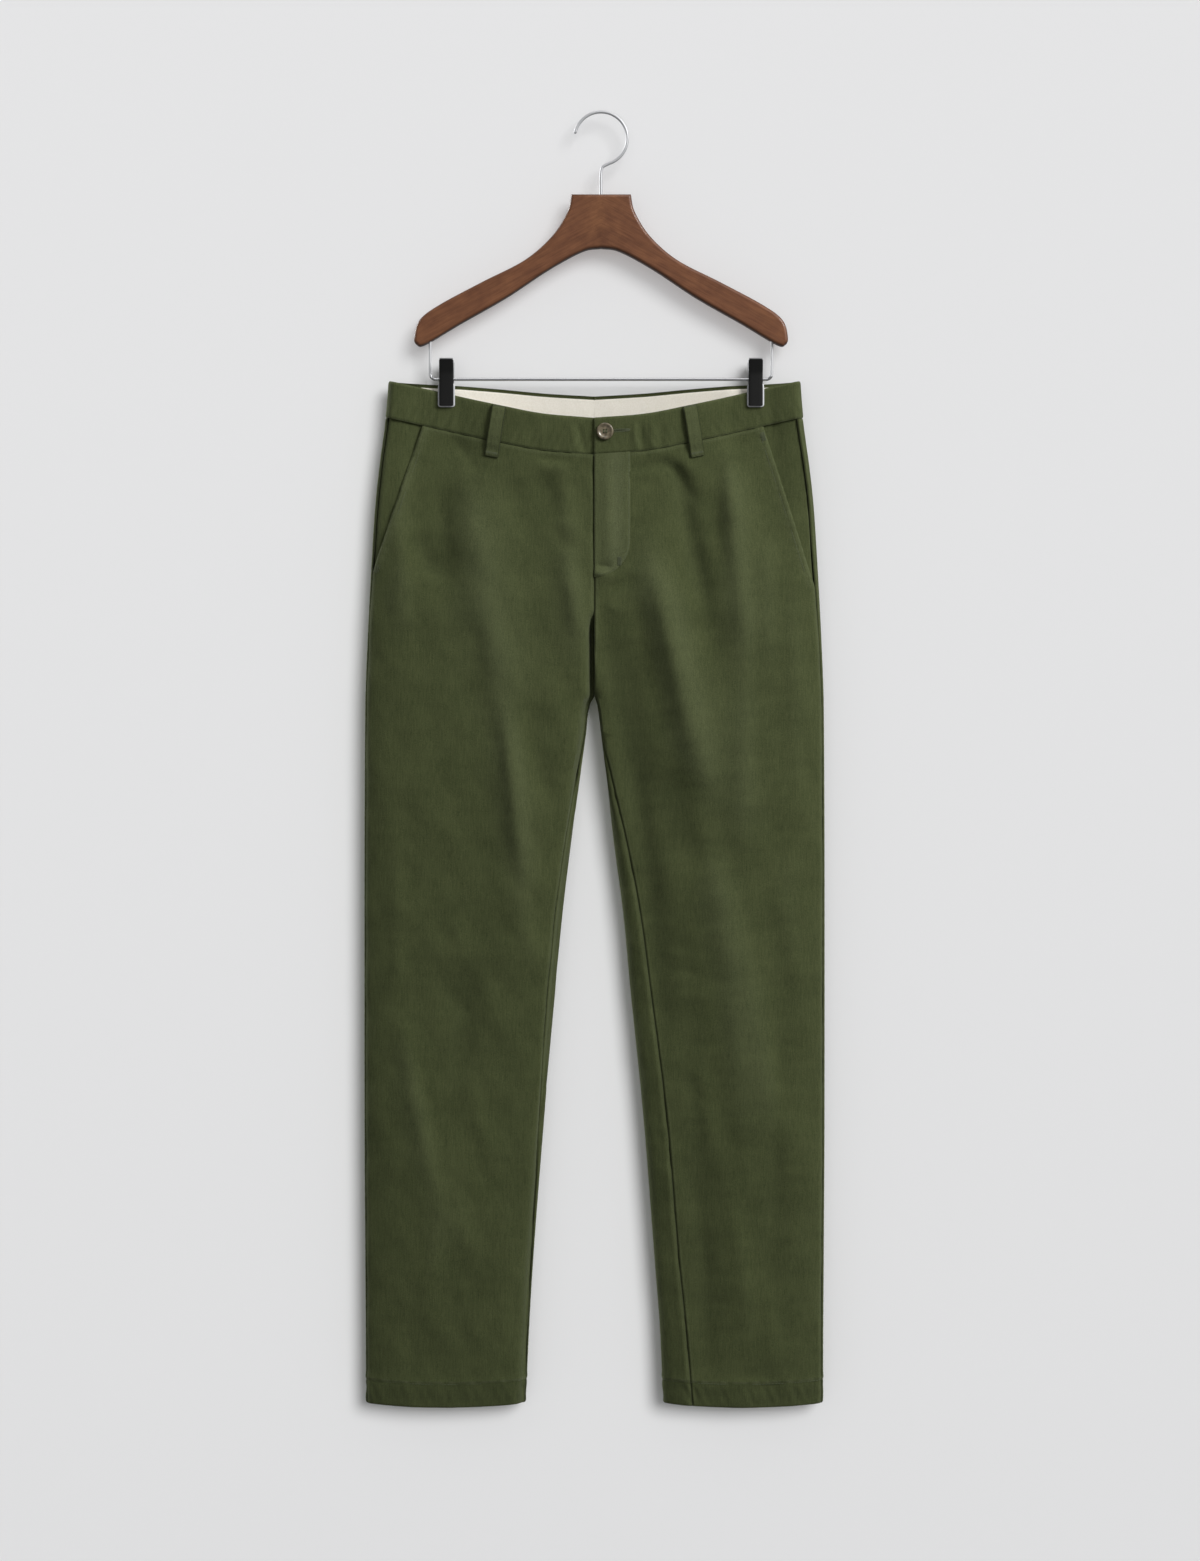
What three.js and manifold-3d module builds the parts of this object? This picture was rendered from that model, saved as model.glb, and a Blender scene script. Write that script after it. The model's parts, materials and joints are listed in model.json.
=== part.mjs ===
// Chino trousers hanging from a clip hanger with a wooden body, a wire hook, a wire bar and two clips.
// Millimetres, +Z up. The front faces -Y, and the wearer's left is +X.
// The origin is where the inner top of the hook bears on what holds it.
import * as THREE from 'three';
import Module from 'manifold-3d';
import { mergeVertices } from 'three/addons/utils/BufferGeometryUtils.js';

const wasm = await Module();
wasm.setup();

// Driving dimensions of the trousers. A drop is measured down from the waistband's top edge at the side.
const WAIST_Z = -276;
const CENTRE_X = -6.7;
const CLOTH = 1.4;
const GAP = 0.3;
const BAND_GAP = 0.5;
const BAND_DEPTH = 37.5;
const BAND_PROUD = 0.5;
const BAND_WALL = 2.4;
const LINING_WALL = 0.8;
const LINING_INSET = 3.5;
const CROTCH_DROP = 322;
const NOTCH_DROP = 242;
const HEM_DROP = 1051;
const HEM_SAG = 4;
const HEM_TURN = 24;
const HEM_WALL = 2.6;
const FLY_WIDTH = 37;
const FLY_DROP = 202;
const FLY_WALL = 1;
const UNDERLAP = 36;
const FACING_WALL = 1;
const FACING_TUCK = 9;
const FACING_GAP = 0.9;
const FACING_ROWS = 9;

// Each leg hangs in its own way, so its seams and pocket have their own places.
const LEGS = {
  right: { sign: -1, gap: 'gapRight', inseam: 'inseamRight', side: 'sideRight', mouth: 174, pocketEnd: 199 },
  left: { sign: 1, gap: 'gapLeft', inseam: 'inseamLeft', side: 'sideLeft', mouth: 171, pocketEnd: 214 },
};

function table(columns, rows) {
  return rows.map((row) => Object.fromEntries(columns.map((name, i) => [name, row[i]])));
}

// The garment from the waist down: outer edge and half the gap between the legs from the centre plane,
// depth of the front and the back from the middle plane, and how far round on to the front each seam sits.
const SECTIONS = table(
  ['drop', 'out', 'gapRight', 'gapLeft', 'front', 'back', 'inseamRight', 'inseamLeft', 'sideRight', 'sideLeft'],
  [
    [0, 211.5, 0, 0, 14, 17, 0, 0, 1, 7],
    [38, 214.8, 0, 0, 14.5, 18.5, 0, 0, 1, 7],
    [81, 220.6, 0, 0, 15, 20.5, 0, 0, 1, 6],
    [125, 225.4, 0, 0, 15.5, 22, 0, 0, 1, 5],
    [185, 229.3, 0, 0, 16, 23, 0, 0, 1, 4.5],
    [260, 233.2, 0, 0, 16.5, 22.5, 0, 0, 1, 2.5],
    [322, 235.7, 0, 0, 17, 20, 0, 0, 1, 1.5],
    [332, 235.9, 4.6, 2.8, 17, 19.6, 0, 0, 1, 1.5],
    [365, 236.2, 9.4, 7.4, 17, 18.8, 1, 0, 1, 1.5],
    [401, 236.4, 14.4, 11.8, 17, 18, 3, 4, 1, 1.5],
    [473, 236.7, 23.8, 19.6, 16, 17, 6, 13, 1, 1.5],
    [545, 236.8, 32.6, 29.2, 15.4, 16.2, 7, 17.5, 1, 1.5],
    [617, 236.8, 39.4, 36, 15, 15.6, 7.5, 20.5, 1, 1.5],
    [761, 236.7, 52.4, 50.6, 14, 14.6, 4.5, 24, 1, 1.5],
    [905, 235.9, 63.6, 61.9, 13.2, 13.8, 1.5, 25, 1, 1.5],
    [977, 235.4, 67.8, 67.4, 12.6, 13.2, 0.8, 27, 1, 1.5],
    [1051, 235.2, 71, 70.6, 12.2, 12.8, 0.5, 30, 1, 1.5],
  ],
);

// The waist from the centre out, across being the share of the half width. The clips pinch it from 0.67 to 0.83.
const WAIST = table(
  ['across', 'front', 'back', 'frontTop', 'backTop'],
  [
    [0, 13, 17, 38.5, 14],
    [0.25, 12, 15, 34, 11],
    [0.45, 9, 10.6, 25.5, 7.5],
    [0.6, 5.6, 6, 18.5, 5.4],
    [0.67, 3.6, 3.6, 15, 4.6],
    [0.83, 3.6, 3.6, 7.5, 3],
    [0.91, 6.6, 6.6, 4, 1.6],
    [1, 7.4, 7.4, 0, 0],
  ],
);

// The largest folds, each along a line on one face from (x, drop) to (x, drop). Height is out of the cloth.
const FOLDS = table(
  ['face', 'x0', 'drop0', 'x1', 'drop1', 'reach', 'height'],
  [
    ['front', -108, 300, -86, 540, 15, 2.2],
    ['front', -134, 280, -118, 560, 16, -2.2],
    ['front', -62, 240, -46, 420, 12, 1.6],
    ['front', -178, 290, -170, 640, 18, 1.4],
    ['front', -150, 640, -166, 900, 22, -1.4],
    ['front', -66, 60, -74, 190, 16, 1.2],
    ['front', 50, 180, 92, 500, 13, 2.6],
    ['front', 72, 120, 130, 410, 15, -2.8],
    ['front', 150, 110, 166, 420, 18, 1.8],
    ['front', 26, 90, 112, 112, 9, -1.6],
    ['front', 118, 540, 152, 920, 24, 1.6],
    ['front', 186, 620, 178, 900, 14, -1.2],
    ['back', -40, 250, -150, 330, 16, -2.6],
    ['back', 36, 262, 148, 318, 15, -2.2],
    ['back', -60, 304, -160, 392, 16, 1.8],
    ['back', 58, 306, 150, 384, 18, 1.8],
    ['back', -130, 420, -118, 700, 20, -2],
    ['back', 122, 440, 136, 720, 22, -1.8],
    ['back', -96, 90, -120, 200, 14, 1.5],
    ['back', 92, 96, 126, 190, 14, 1.4],
    ['back', -160, 720, -140, 940, 24, 1.4],
    ['back', 168, 700, 148, 960, 22, -1.4],
  ],
);

// How squarely the cloth turns at the leg's edges, over what share of the waist it turns at the side,
// and the drop at which the clips' pinch has run out.
const OUTER_ROUND = 2.9;
const INNER_ROUND = 3.3;
const SIDE_ROUND = 0.035;
const PINCH_END = 250;
const FOLD_LEAD = 0.15;
const FOLD_FADE = 0.3;
const RING_STEPS = 60;
const NORMAL_REACH = 2;

function clamp(value, low, high) {
  return Math.min(high, Math.max(low, value));
}

function mix(a, b, share) {
  return a + (b - a) * share;
}

function ease(low, high, value) {
  const t = clamp((value - low) / (high - low), 0, 1);
  return t * t * (3 - 2 * t);
}

// A smooth curve through one column of a table, flat beyond its ends.
function read(rows, key, column, value) {
  const last = rows.length - 1;
  if (value <= rows[0][key]) return rows[0][column];
  if (value >= rows[last][key]) return rows[last][column];
  let i = 0;
  while (rows[i + 1][key] < value) i += 1;
  const slope = (a, b) => (rows[b][column] - rows[a][column]) / (rows[b][key] - rows[a][key]);
  const here = slope(i, i + 1);
  const limit = (other) => {
    if (other * here <= 0) return 0;
    return Math.sign(here) * Math.min(Math.abs(other + here) / 2, 3 * Math.abs(here), 3 * Math.abs(other));
  };
  const start = i === 0 ? here : limit(slope(i - 1, i));
  const end = i + 1 === last ? here : limit(slope(i + 1, i + 2));
  const span = rows[i + 1][key] - rows[i][key];
  const t = (value - rows[i][key]) / span;
  const bend = t * t * (3 - 2 * t);
  return mix(rows[i][column], rows[i + 1][column], bend)
    + span * t * (1 - t) * ((1 - t) * start - t * end);
}

// A quarter of a superellipse: 0 at the edge of the cloth, 1 where it runs flat.
function rounding(share, power) {
  return (1 - (1 - clamp(share, 0, 1)) ** power) ** (1 / power);
}

function foldHeight(face, x, drop) {
  let height = 0;
  for (const fold of FOLDS) {
    if (fold.face !== face) continue;
    const dx = fold.x1 - fold.x0;
    const dz = fold.drop1 - fold.drop0;
    const length = Math.hypot(dx, dz);
    const along = ((x - fold.x0) * dx + (drop - fold.drop0) * dz) / length;
    const off = ((x - fold.x0) * dz - (drop - fold.drop0) * dx) / length;
    const fade = (run) => ease(-FOLD_LEAD * length, FOLD_FADE * length, run);
    height += fold.height * fade(along) * fade(length - along) * Math.exp(-((off / fold.reach) ** 2));
  }
  return height;
}

// Above the crotch the two halves meet at the centre. Down the notch that seam goes in to the middle plane.
function centreDepth(drop) {
  const t = clamp((drop - NOTCH_DROP) / (CROTCH_DROP - NOTCH_DROP), 0, 1);
  return Math.sqrt(1 - t * t);
}

// A point of the outer surface. Turn is 0 at the front's inner end, 1 at the outer edge, 2 at the back's.
function surface(leg, turn, drop) {
  const face = turn < 1 ? 'front' : 'back';
  const share = (1 + Math.cos(Math.PI * turn)) / 2;
  const out = read(SECTIONS, 'drop', 'out', drop);
  const gap = Math.max(read(SECTIONS, 'drop', leg.gap, drop), GAP / 2);
  const lateral = mix(out, gap, share);
  const x = CENTRE_X + leg.sign * lateral;
  const open = centreDepth(drop);
  const edges = rounding(share * 2, OUTER_ROUND) * mix(rounding(2 - 2 * share, INNER_ROUND), 1, open);
  const full = (read(SECTIONS, 'drop', face, drop) + foldHeight(face, x, drop)) * edges;
  const pinched = read(WAIST, 'across', face, lateral / out) * rounding(share / SIDE_ROUND, 2);
  const depth = mix(pinched, full, ease(BAND_DEPTH, PINCH_END, drop));
  return new THREE.Vector3(x, face === 'front' ? -depth : depth, WAIST_Z - drop);
}

// The section at one drop, with the length of its curve from the outer edge: below 0 on the front.
function ring(leg, drop) {
  const points = Array.from({ length: 2 * RING_STEPS + 1 }, (_, i) => surface(leg, i / RING_STEPS, drop));
  const lengths = [0];
  for (let i = 1; i < points.length; i += 1) lengths.push(lengths[i - 1] + points[i].distanceTo(points[i - 1]));
  const edge = lengths[RING_STEPS];
  return { leg, drop, lengths: lengths.map((value) => value - edge), closed: drop >= CROTCH_DROP };
}

function turnAt(section, length) {
  const { lengths, closed } = section;
  const first = lengths[0];
  const last = lengths[lengths.length - 1];
  let at = length;
  if (closed && at > last) at -= last - first;
  if (closed && at < first) at += last - first;
  at = clamp(at, first, last);
  let i = 0;
  while (i < lengths.length - 2 && lengths[i + 1] < at) i += 1;
  return (i + (at - lengths[i]) / (lengths[i + 1] - lengths[i])) / RING_STEPS;
}

function lengthAt(section, turn) {
  const i = Math.min(Math.floor(turn * RING_STEPS), 2 * RING_STEPS - 1);
  return mix(section.lengths[i], section.lengths[i + 1], turn * RING_STEPS - i);
}

// The turn on the front face at a distance from the centre plane.
function frontTurn(leg, drop, lateral) {
  const out = read(SECTIONS, 'drop', 'out', drop);
  const gap = Math.max(read(SECTIONS, 'drop', leg.gap, drop), GAP / 2);
  return Math.acos(2 * clamp((out - lateral) / (out - gap), 0, 1) - 1) / Math.PI;
}

// A point of the surface and its outward normal.
function spot(leg, turn, drop) {
  const section = ring(leg, drop);
  const length = lengthAt(section, turn);
  const before = surface(leg, turnAt(section, length - NORMAL_REACH), drop);
  const after = surface(leg, turnAt(section, length + NORMAL_REACH), drop);
  const across = after.sub(before);
  const down = surface(leg, turn, drop + NORMAL_REACH).sub(surface(leg, turn, drop - NORMAL_REACH));
  const normal = new THREE.Vector3().crossVectors(down, across).normalize().multiplyScalar(leg.sign);
  return { point: surface(leg, turn, drop), normal };
}

// Moves a spot along its normal, and keeps it on its own side of the centre plane.
function moved(at, distance, sign) {
  const point = at.point.clone().addScaledVector(at.normal, distance);
  if (sign) point.x = CENTRE_X + sign * Math.max(sign * (point.x - CENTRE_X), GAP / 2);
  return point;
}

// A closed wall between an outer and an inner grid of points.
function wall(outer, inner) {
  const rows = outer.length;
  const columns = outer[0].length;
  const points = [...outer.flat(), ...inner.flat()];
  const at = (side, i, j) => side * rows * columns + i * columns + j;
  const triangles = [];
  const quad = (a, b, c, d) => triangles.push(a, b, c, a, c, d);
  for (let i = 0; i + 1 < rows; i += 1) {
    for (let j = 0; j + 1 < columns; j += 1) {
      quad(at(0, i, j), at(0, i + 1, j), at(0, i + 1, j + 1), at(0, i, j + 1));
      quad(at(1, i, j), at(1, i, j + 1), at(1, i + 1, j + 1), at(1, i + 1, j));
    }
  }
  for (let i = 0; i + 1 < rows; i += 1) {
    quad(at(0, i, 0), at(1, i, 0), at(1, i + 1, 0), at(0, i + 1, 0));
    quad(at(1, i + 1, columns - 1), at(1, i, columns - 1), at(0, i, columns - 1), at(0, i + 1, columns - 1));
  }
  for (let j = 0; j + 1 < columns; j += 1) {
    quad(at(0, 0, j + 1), at(1, 0, j + 1), at(1, 0, j), at(0, 0, j));
    quad(at(0, rows - 1, j), at(1, rows - 1, j), at(1, rows - 1, j + 1), at(0, rows - 1, j + 1));
  }
  return facingOut(points, triangles);
}

// Turns a closed mesh the right way out by the sign of its volume.
function facingOut(points, triangles) {
  let volume = 0;
  for (let i = 0; i < triangles.length; i += 3) {
    const [a, b, c] = [points[triangles[i]], points[triangles[i + 1]], points[triangles[i + 2]]];
    volume += a.dot(new THREE.Vector3().crossVectors(b, c));
  }
  if (volume < 0) triangles.reverse();
  const geometry = new THREE.BufferGeometry();
  geometry.setAttribute('position', new THREE.Float32BufferAttribute(points.flatMap((p) => p.toArray()), 3));
  geometry.setIndex(triangles);
  geometry.computeVertexNormals();
  return geometry;
}

const materials = {
  twill: new THREE.MeshStandardMaterial({ color: 0x40472d, roughness: 0.9, metalness: 0 }),
  lining: new THREE.MeshStandardMaterial({ color: 0xe6dfd3, roughness: 0.9, metalness: 0 }),
  horn: new THREE.MeshStandardMaterial({ color: 0x6b6350, roughness: 0.4, metalness: 0 }),
  walnut: new THREE.MeshStandardMaterial({ color: 0x6a3f28, roughness: 0.45, metalness: 0 }),
  wire: new THREE.MeshStandardMaterial({ color: 0xc8c9ca, roughness: 0.2, metalness: 1 }),
  grip: new THREE.MeshStandardMaterial({ color: 0x1c1c1b, roughness: 0.5, metalness: 0 }),
};

const trousers = new THREE.Group();

function add(name, geometry, material) {
  const mesh = new THREE.Mesh(geometry, materials[material]);
  mesh.name = name;
  trousers.add(mesh);
  return mesh;
}

// Where the waistband's top edge lies, from the share of the half width and the face.
function bandTop(turn, drop, leg) {
  const out = read(SECTIONS, 'drop', 'out', drop);
  const across = Math.abs(surface(leg, turn, drop).x - CENTRE_X) / out;
  return read(WAIST, 'across', turn < 1 ? 'frontTop' : 'backTop', across);
}

// A drop that itself depends on where the point lies across the band is settled in a few rounds.
function settle(start, next) {
  let drop = start;
  for (let round = 0; round < 5; round += 1) drop = next(drop);
  return drop;
}

// A panel of a leg between two edges, each a length along the section. Its columns close up towards both edges,
// where the cloth turns round the side of the leg.
const EDGE_CROWDING = 0.92;

function columnShare(j, columns) {
  return mix(j / columns, (1 - Math.cos((Math.PI * j) / columns)) / 2, EDGE_CROWDING);
}

function panel(leg, { rows, columns, from, to, outside, thickness }) {
  const outer = [];
  const inner = [];
  for (const dropOf of rows) {
    const line = [];
    const lining = [];
    for (let j = 0; j <= columns; j += 1) {
      const turnFor = (drop) => {
        const section = ring(leg, drop);
        return turnAt(section, mix(from(section), to(section), columnShare(j, columns)));
      };
      const drop = settle(CROTCH_DROP / 2, (value) => dropOf(turnFor(value), value));
      const at = spot(leg, turnFor(drop), drop);
      const sign = drop < CROTCH_DROP ? leg.sign : 0;
      line.push(moved(at, outside, sign));
      lining.push(moved(at, outside - thickness(drop), sign));
    }
    outer.push(line);
    inner.push(lining);
  }
  return wall(outer, inner);
}

// Rows of a leg panel: eased out of the sloping waist seam, level from YOKE_DROP down, and dense at the crotch.
const YOKE_DROP = 200;
const UPPER_ROWS = [0, 0.12, 0.3, 0.5, 0.68, 0.82, 0.92];
const LEVEL_ROWS = [200, 225, 248, 268, 285, 300, 311, 318, CROTCH_DROP, 327, 336, 350, 372, 405, 450, 505,
  570, 640, 715, 790, 865, 935, 990];

function legRows(leg) {
  const seam = (turn, drop) => bandTop(turn, drop, leg) + BAND_DEPTH + BAND_GAP;
  const hem = (turn) => HEM_DROP + HEM_SAG * Math.sin(Math.PI * turn) ** 2;
  return [
    ...UPPER_ROWS.map((share) => (turn, drop) => mix(seam(turn, drop), YOKE_DROP, share)),
    ...LEVEL_ROWS.map((drop) => () => drop),
    (turn) => hem(turn) - HEM_TURN - (HEM_WALL - CLOTH),
    (turn) => hem(turn) - HEM_TURN,
    (turn) => hem(turn),
  ];
}

// The turned-up hem doubles the wall.
function clothWall(drop) {
  return drop > HEM_DROP - HEM_TURN - GAP ? HEM_WALL : CLOTH;
}

// The side seam, the pocket's mouth and the inseam, as lengths along a section.
function sideLateral(leg, drop) {
  return read(SECTIONS, 'drop', 'out', drop) - read(SECTIONS, 'drop', leg.side, drop);
}

function pocketLateral(leg, drop) {
  const share = clamp((drop - BAND_DEPTH) / (leg.pocketEnd - BAND_DEPTH), 0, 1);
  return mix(leg.mouth, sideLateral(leg, leg.pocketEnd), share);
}

function frontLength(section, lateral) {
  return lengthAt(section, frontTurn(section.leg, section.drop, lateral));
}

function sideSeam(section) {
  return frontLength(section, sideLateral(section.leg, section.drop));
}

function mouthEdge(section) {
  const { leg, drop } = section;
  const lateral = drop < leg.pocketEnd ? pocketLateral(leg, drop) : sideLateral(leg, drop);
  return frontLength(section, Math.min(lateral, sideLateral(leg, drop)));
}

function inseam(section) {
  const { leg, drop, lengths, closed } = section;
  if (!closed) return lengths[0];
  const gap = read(SECTIONS, 'drop', leg.gap, drop);
  return frontLength(section, gap + read(SECTIONS, 'drop', leg.inseam, drop));
}

for (const [name, leg] of Object.entries(LEGS)) {
  const seamGap = (section) => (section.closed ? GAP / 2 : 0);
  add(`front_${name}`, panel(leg, {
    rows: legRows(leg),
    columns: 12,
    from: (section) => inseam(section) + seamGap(section),
    to: (section) => mouthEdge(section) - GAP / 2,
    outside: 0,
    thickness: clothWall,
  }), 'twill');
  add(`back_${name}`, panel(leg, {
    rows: legRows(leg),
    columns: 15,
    from: (section) => sideSeam(section) + GAP / 2,
    to: (section) => (section.closed
      ? inseam(section) - GAP / 2 + section.lengths.at(-1) - section.lengths[0]
      : section.lengths.at(-1)),
    outside: 0,
    thickness: clothWall,
  }), 'twill');
  add(`pocket_facing_${name}`, panel(leg, {
    rows: legRows(leg).slice(0, FACING_ROWS),
    columns: 8,
    from: (section) => mouthEdge(section) - FACING_TUCK,
    to: (section) => sideSeam(section) - GAP / 2,
    outside: -CLOTH - FACING_GAP,
    thickness: () => FACING_WALL,
  }), 'twill');
}

// The fly front lies on the left front, from the centre seam to its curved lower end.
const FLY_CURVE_START = FLY_DROP - FLY_WIDTH;
const FLY_TIP = 4;
const flyWidth = (drop) => {
  const t = clamp((drop - FLY_CURVE_START) / FLY_WIDTH, 0, 1);
  return Math.max(FLY_WIDTH * Math.sqrt(1 - t * t), FLY_TIP);
};
const FLY_ROWS = [0, 0.25, 0.5, 0.73, 0.83, 0.91, 0.96, 1];
add('fly', panel(LEGS.left, {
  rows: FLY_ROWS.map((share) => (turn, drop) => (
    mix(bandTop(turn, drop, LEGS.left) + BAND_DEPTH + BAND_GAP, FLY_DROP, share))),
  columns: 5,
  from: (section) => section.lengths[0],
  to: (section) => frontLength(section, flyWidth(section.drop)),
  outside: GAP + FLY_WALL,
  thickness: () => FLY_WALL,
}), 'twill');

// A waistband half from the centre back round the side to the centre front, as a list of columns.
const BAND_COLUMNS = 30;
const BAND_ROWS = [0, 0.5, 1];
const STEP_IN = BAND_WALL + 0.4;
const STEP_FROM = 30;
const STEP_TO = 3;
const LINING_REACH = 26;
const LINING_DOWNS = [LINING_INSET, BAND_DEPTH / 2, BAND_DEPTH - 2];

function bandColumn(leg, share) {
  const turnFor = (drop) => {
    const section = ring(leg, drop);
    return turnAt(section, mix(section.lengths.at(-1), section.lengths[0], share));
  };
  return (down) => {
    const drop = settle(BAND_DEPTH, (value) => bandTop(turnFor(value), value, leg) + down);
    return { ...spot(leg, turnFor(drop), drop), sign: leg.sign };
  };
}

function underlapColumn(lateral) {
  const leg = LEGS.left;
  return (down) => {
    const drop = settle(BAND_DEPTH, (value) => bandTop(frontTurn(leg, value, lateral), value, leg) + down);
    return { ...spot(leg, frontTurn(leg, drop, lateral), drop), sign: 0 };
  };
}

// The right half goes in behind the left one at the centre front.
function stepIn(at) {
  const lateral = CENTRE_X - at.point.x;
  return at.normal.y < 0 ? -STEP_IN * (1 - ease(STEP_TO, STEP_FROM, lateral)) : 0;
}

function strip(columns, downs, outside, thickness, shift = () => 0) {
  const grid = downs.map((down) => columns.map((column) => column(down)));
  const layer = (distance) => grid.map((row) => row.map((at) => moved(at, distance + shift(at), at.sign)));
  return wall(layer(outside), layer(outside - thickness));
}

for (const [name, leg] of Object.entries(LEGS)) {
  const columns = Array.from({ length: BAND_COLUMNS + 1 }, (_, i) => bandColumn(leg, i / BAND_COLUMNS));
  const downs = BAND_ROWS.map((share) => share * BAND_DEPTH);
  const isRight = name === 'right';
  const lap = isRight ? [UNDERLAP / 3, (2 * UNDERLAP) / 3, UNDERLAP].map(underlapColumn) : [];
  const shift = isRight ? stepIn : () => 0;
  add(`waistband_${name}`, strip([...columns, ...lap], downs, BAND_PROUD, BAND_WALL, shift), 'twill');
  const liningOut = BAND_PROUD - BAND_WALL - GAP;
  const lining = strip(columns.slice(0, LINING_REACH), LINING_DOWNS, liningOut, LINING_WALL);
  add(`waistband_lining_${name}`, lining, 'lining');
}

// A belt loop is a folded strip, tacked at the waistband's top edge and just below its seam.
const LOOP_WIDTH = 14;
const LOOP_WALL = 2;
const LOOP = table(
  ['down', 'off'],
  [[0.5, 0.9], [5, 2.3], [22, 3.1], [40, 2.3], [49, 0.6], [54, 0.6]],
);

function beltLoop(name, leg, face, top, bottom) {
  const outer = [];
  const inner = [];
  for (const { down, off } of LOOP) {
    const middle = mix(top, bottom, down / LOOP.at(-1).down);
    const row = [-0.5, 0, 0.5].map((side) => {
      const lateral = middle + side * LOOP_WIDTH;
      const across = lateral < 0 ? LEGS.right : leg;
      const turnFor = (drop) => {
        const turn = frontTurn(across, drop, Math.abs(lateral));
        return face === 'front' ? turn : 2 - turn;
      };
      const drop = settle(BAND_DEPTH, (value) => bandTop(turnFor(value), value, across) + down);
      return spot(across, turnFor(drop), drop);
    });
    outer.push(row.map((at) => moved(at, off + LOOP_WALL, 0)));
    inner.push(row.map((at) => moved(at, off, 0)));
  }
  add(name, wall(outer, inner), 'twill');
}

const LOOP_FRONT_TOP = 97.5;
const LOOP_FRONT_BOTTOM = 106;
const LOOP_BACK = 112;
for (const [name, leg] of Object.entries(LEGS)) {
  beltLoop(`belt_loop_front_${name}`, leg, 'front', LOOP_FRONT_TOP, LOOP_FRONT_BOTTOM);
  beltLoop(`belt_loop_back_${name}`, leg, 'back', LOOP_BACK, LOOP_BACK);
}
beltLoop('belt_loop_centre_back', LEGS.left, 'back', 0, 0);

function toSolid(geometry) {
  const bare = geometry.clone();
  bare.deleteAttribute('normal');
  bare.deleteAttribute('uv');
  const merged = mergeVertices(bare, 1e-4);
  return new wasm.Manifold(new wasm.Mesh({
    numProp: 3,
    vertProperties: new Float32Array(merged.attributes.position.array),
    triVerts: new Uint32Array(merged.index.array),
  }));
}

function toGeometry(solid) {
  const mesh = solid.getMesh();
  const geometry = new THREE.BufferGeometry();
  geometry.setAttribute('position', new THREE.Float32BufferAttribute(mesh.vertProperties, 3));
  geometry.setIndex([...mesh.triVerts]);
  geometry.computeVertexNormals();
  return geometry;
}

// The button is a dished disc with four holes, fastened through the left band.
const BUTTON_RADIUS = 8.75;
const BUTTON_THICKNESS = 3.2;
const BUTTON_HOLE = 1;
const BUTTON_HOLE_SPREAD = 1.9;
const BUTTON_LATERAL = 10.8;
const BUTTON_DOWN = 15;

function buttonGeometry() {
  const profile = [
    [0, 0], [7.2, 0], [BUTTON_RADIUS, 1], [BUTTON_RADIUS, 2.2], [7.9, BUTTON_THICKNESS], [6.6, BUTTON_THICKNESS],
    [5.2, 2.2], [0, 2],
  ].map(([radius, height]) => new THREE.Vector2(radius, height));
  let disc = toSolid(new THREE.LatheGeometry(profile, 24));
  for (let i = 0; i < 4; i += 1) {
    const angle = (i + 0.5) * (Math.PI / 2);
    const hole = new THREE.CylinderGeometry(BUTTON_HOLE, BUTTON_HOLE, 3 * BUTTON_THICKNESS, 8);
    hole.translate(BUTTON_HOLE_SPREAD * Math.cos(angle), 0, BUTTON_HOLE_SPREAD * Math.sin(angle));
    disc = disc.subtract(toSolid(hole));
  }
  return toGeometry(disc);
}

const buttonColumn = underlapColumn(BUTTON_LATERAL);
const buttonAt = buttonColumn(BUTTON_DOWN);
const button = add('button', buttonGeometry(), 'horn');
button.quaternion.setFromUnitVectors(new THREE.Vector3(0, 1, 0), buttonAt.normal);
button.position.copy(moved(buttonAt, BAND_PROUD + GAP, 0));

// The hanger: everything is centred on the hook's stem.
const WIRE = 3.2;
const HOOK_RADIUS = 27.2;
const HOOK_CENTRE_Z = -(HOOK_RADIUS - WIRE / 2);
const BODY_TOP_Z = -84;
const BODY_THICKNESS = 14;
const STEM_DEPTH = 14;
const BAR_Z = -274;
const BAR_WIRE = 3;
const BAR_HALF = 176;
const BAR_DEPTH = 10;
const CORNER = 6;

// A wire through a list of points, with as many steps between each two as it needs.
function wire(points, diameter, stepsEach) {
  const path = new THREE.CatmullRomCurve3(points, false, 'centripetal');
  path.getPointAt = path.getPoint;
  path.getTangentAt = path.getTangent;
  const steps = (points.length - 1) * stepsEach;
  const section = new THREE.Shape().absarc(0, 0, diameter / 2, 0, 2 * Math.PI, false);
  return new THREE.ExtrudeGeometry(section, { extrudePath: path, steps, curveSegments: 4, bevelEnabled: false });
}

function arcPoints(centreX, centreZ, radius, from, to, count) {
  return Array.from({ length: count + 1 }, (_, i) => {
    const angle = THREE.MathUtils.degToRad(mix(from, to, i / count));
    return new THREE.Vector3(centreX + radius * Math.cos(angle), 0, centreZ + radius * Math.sin(angle));
  });
}

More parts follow.
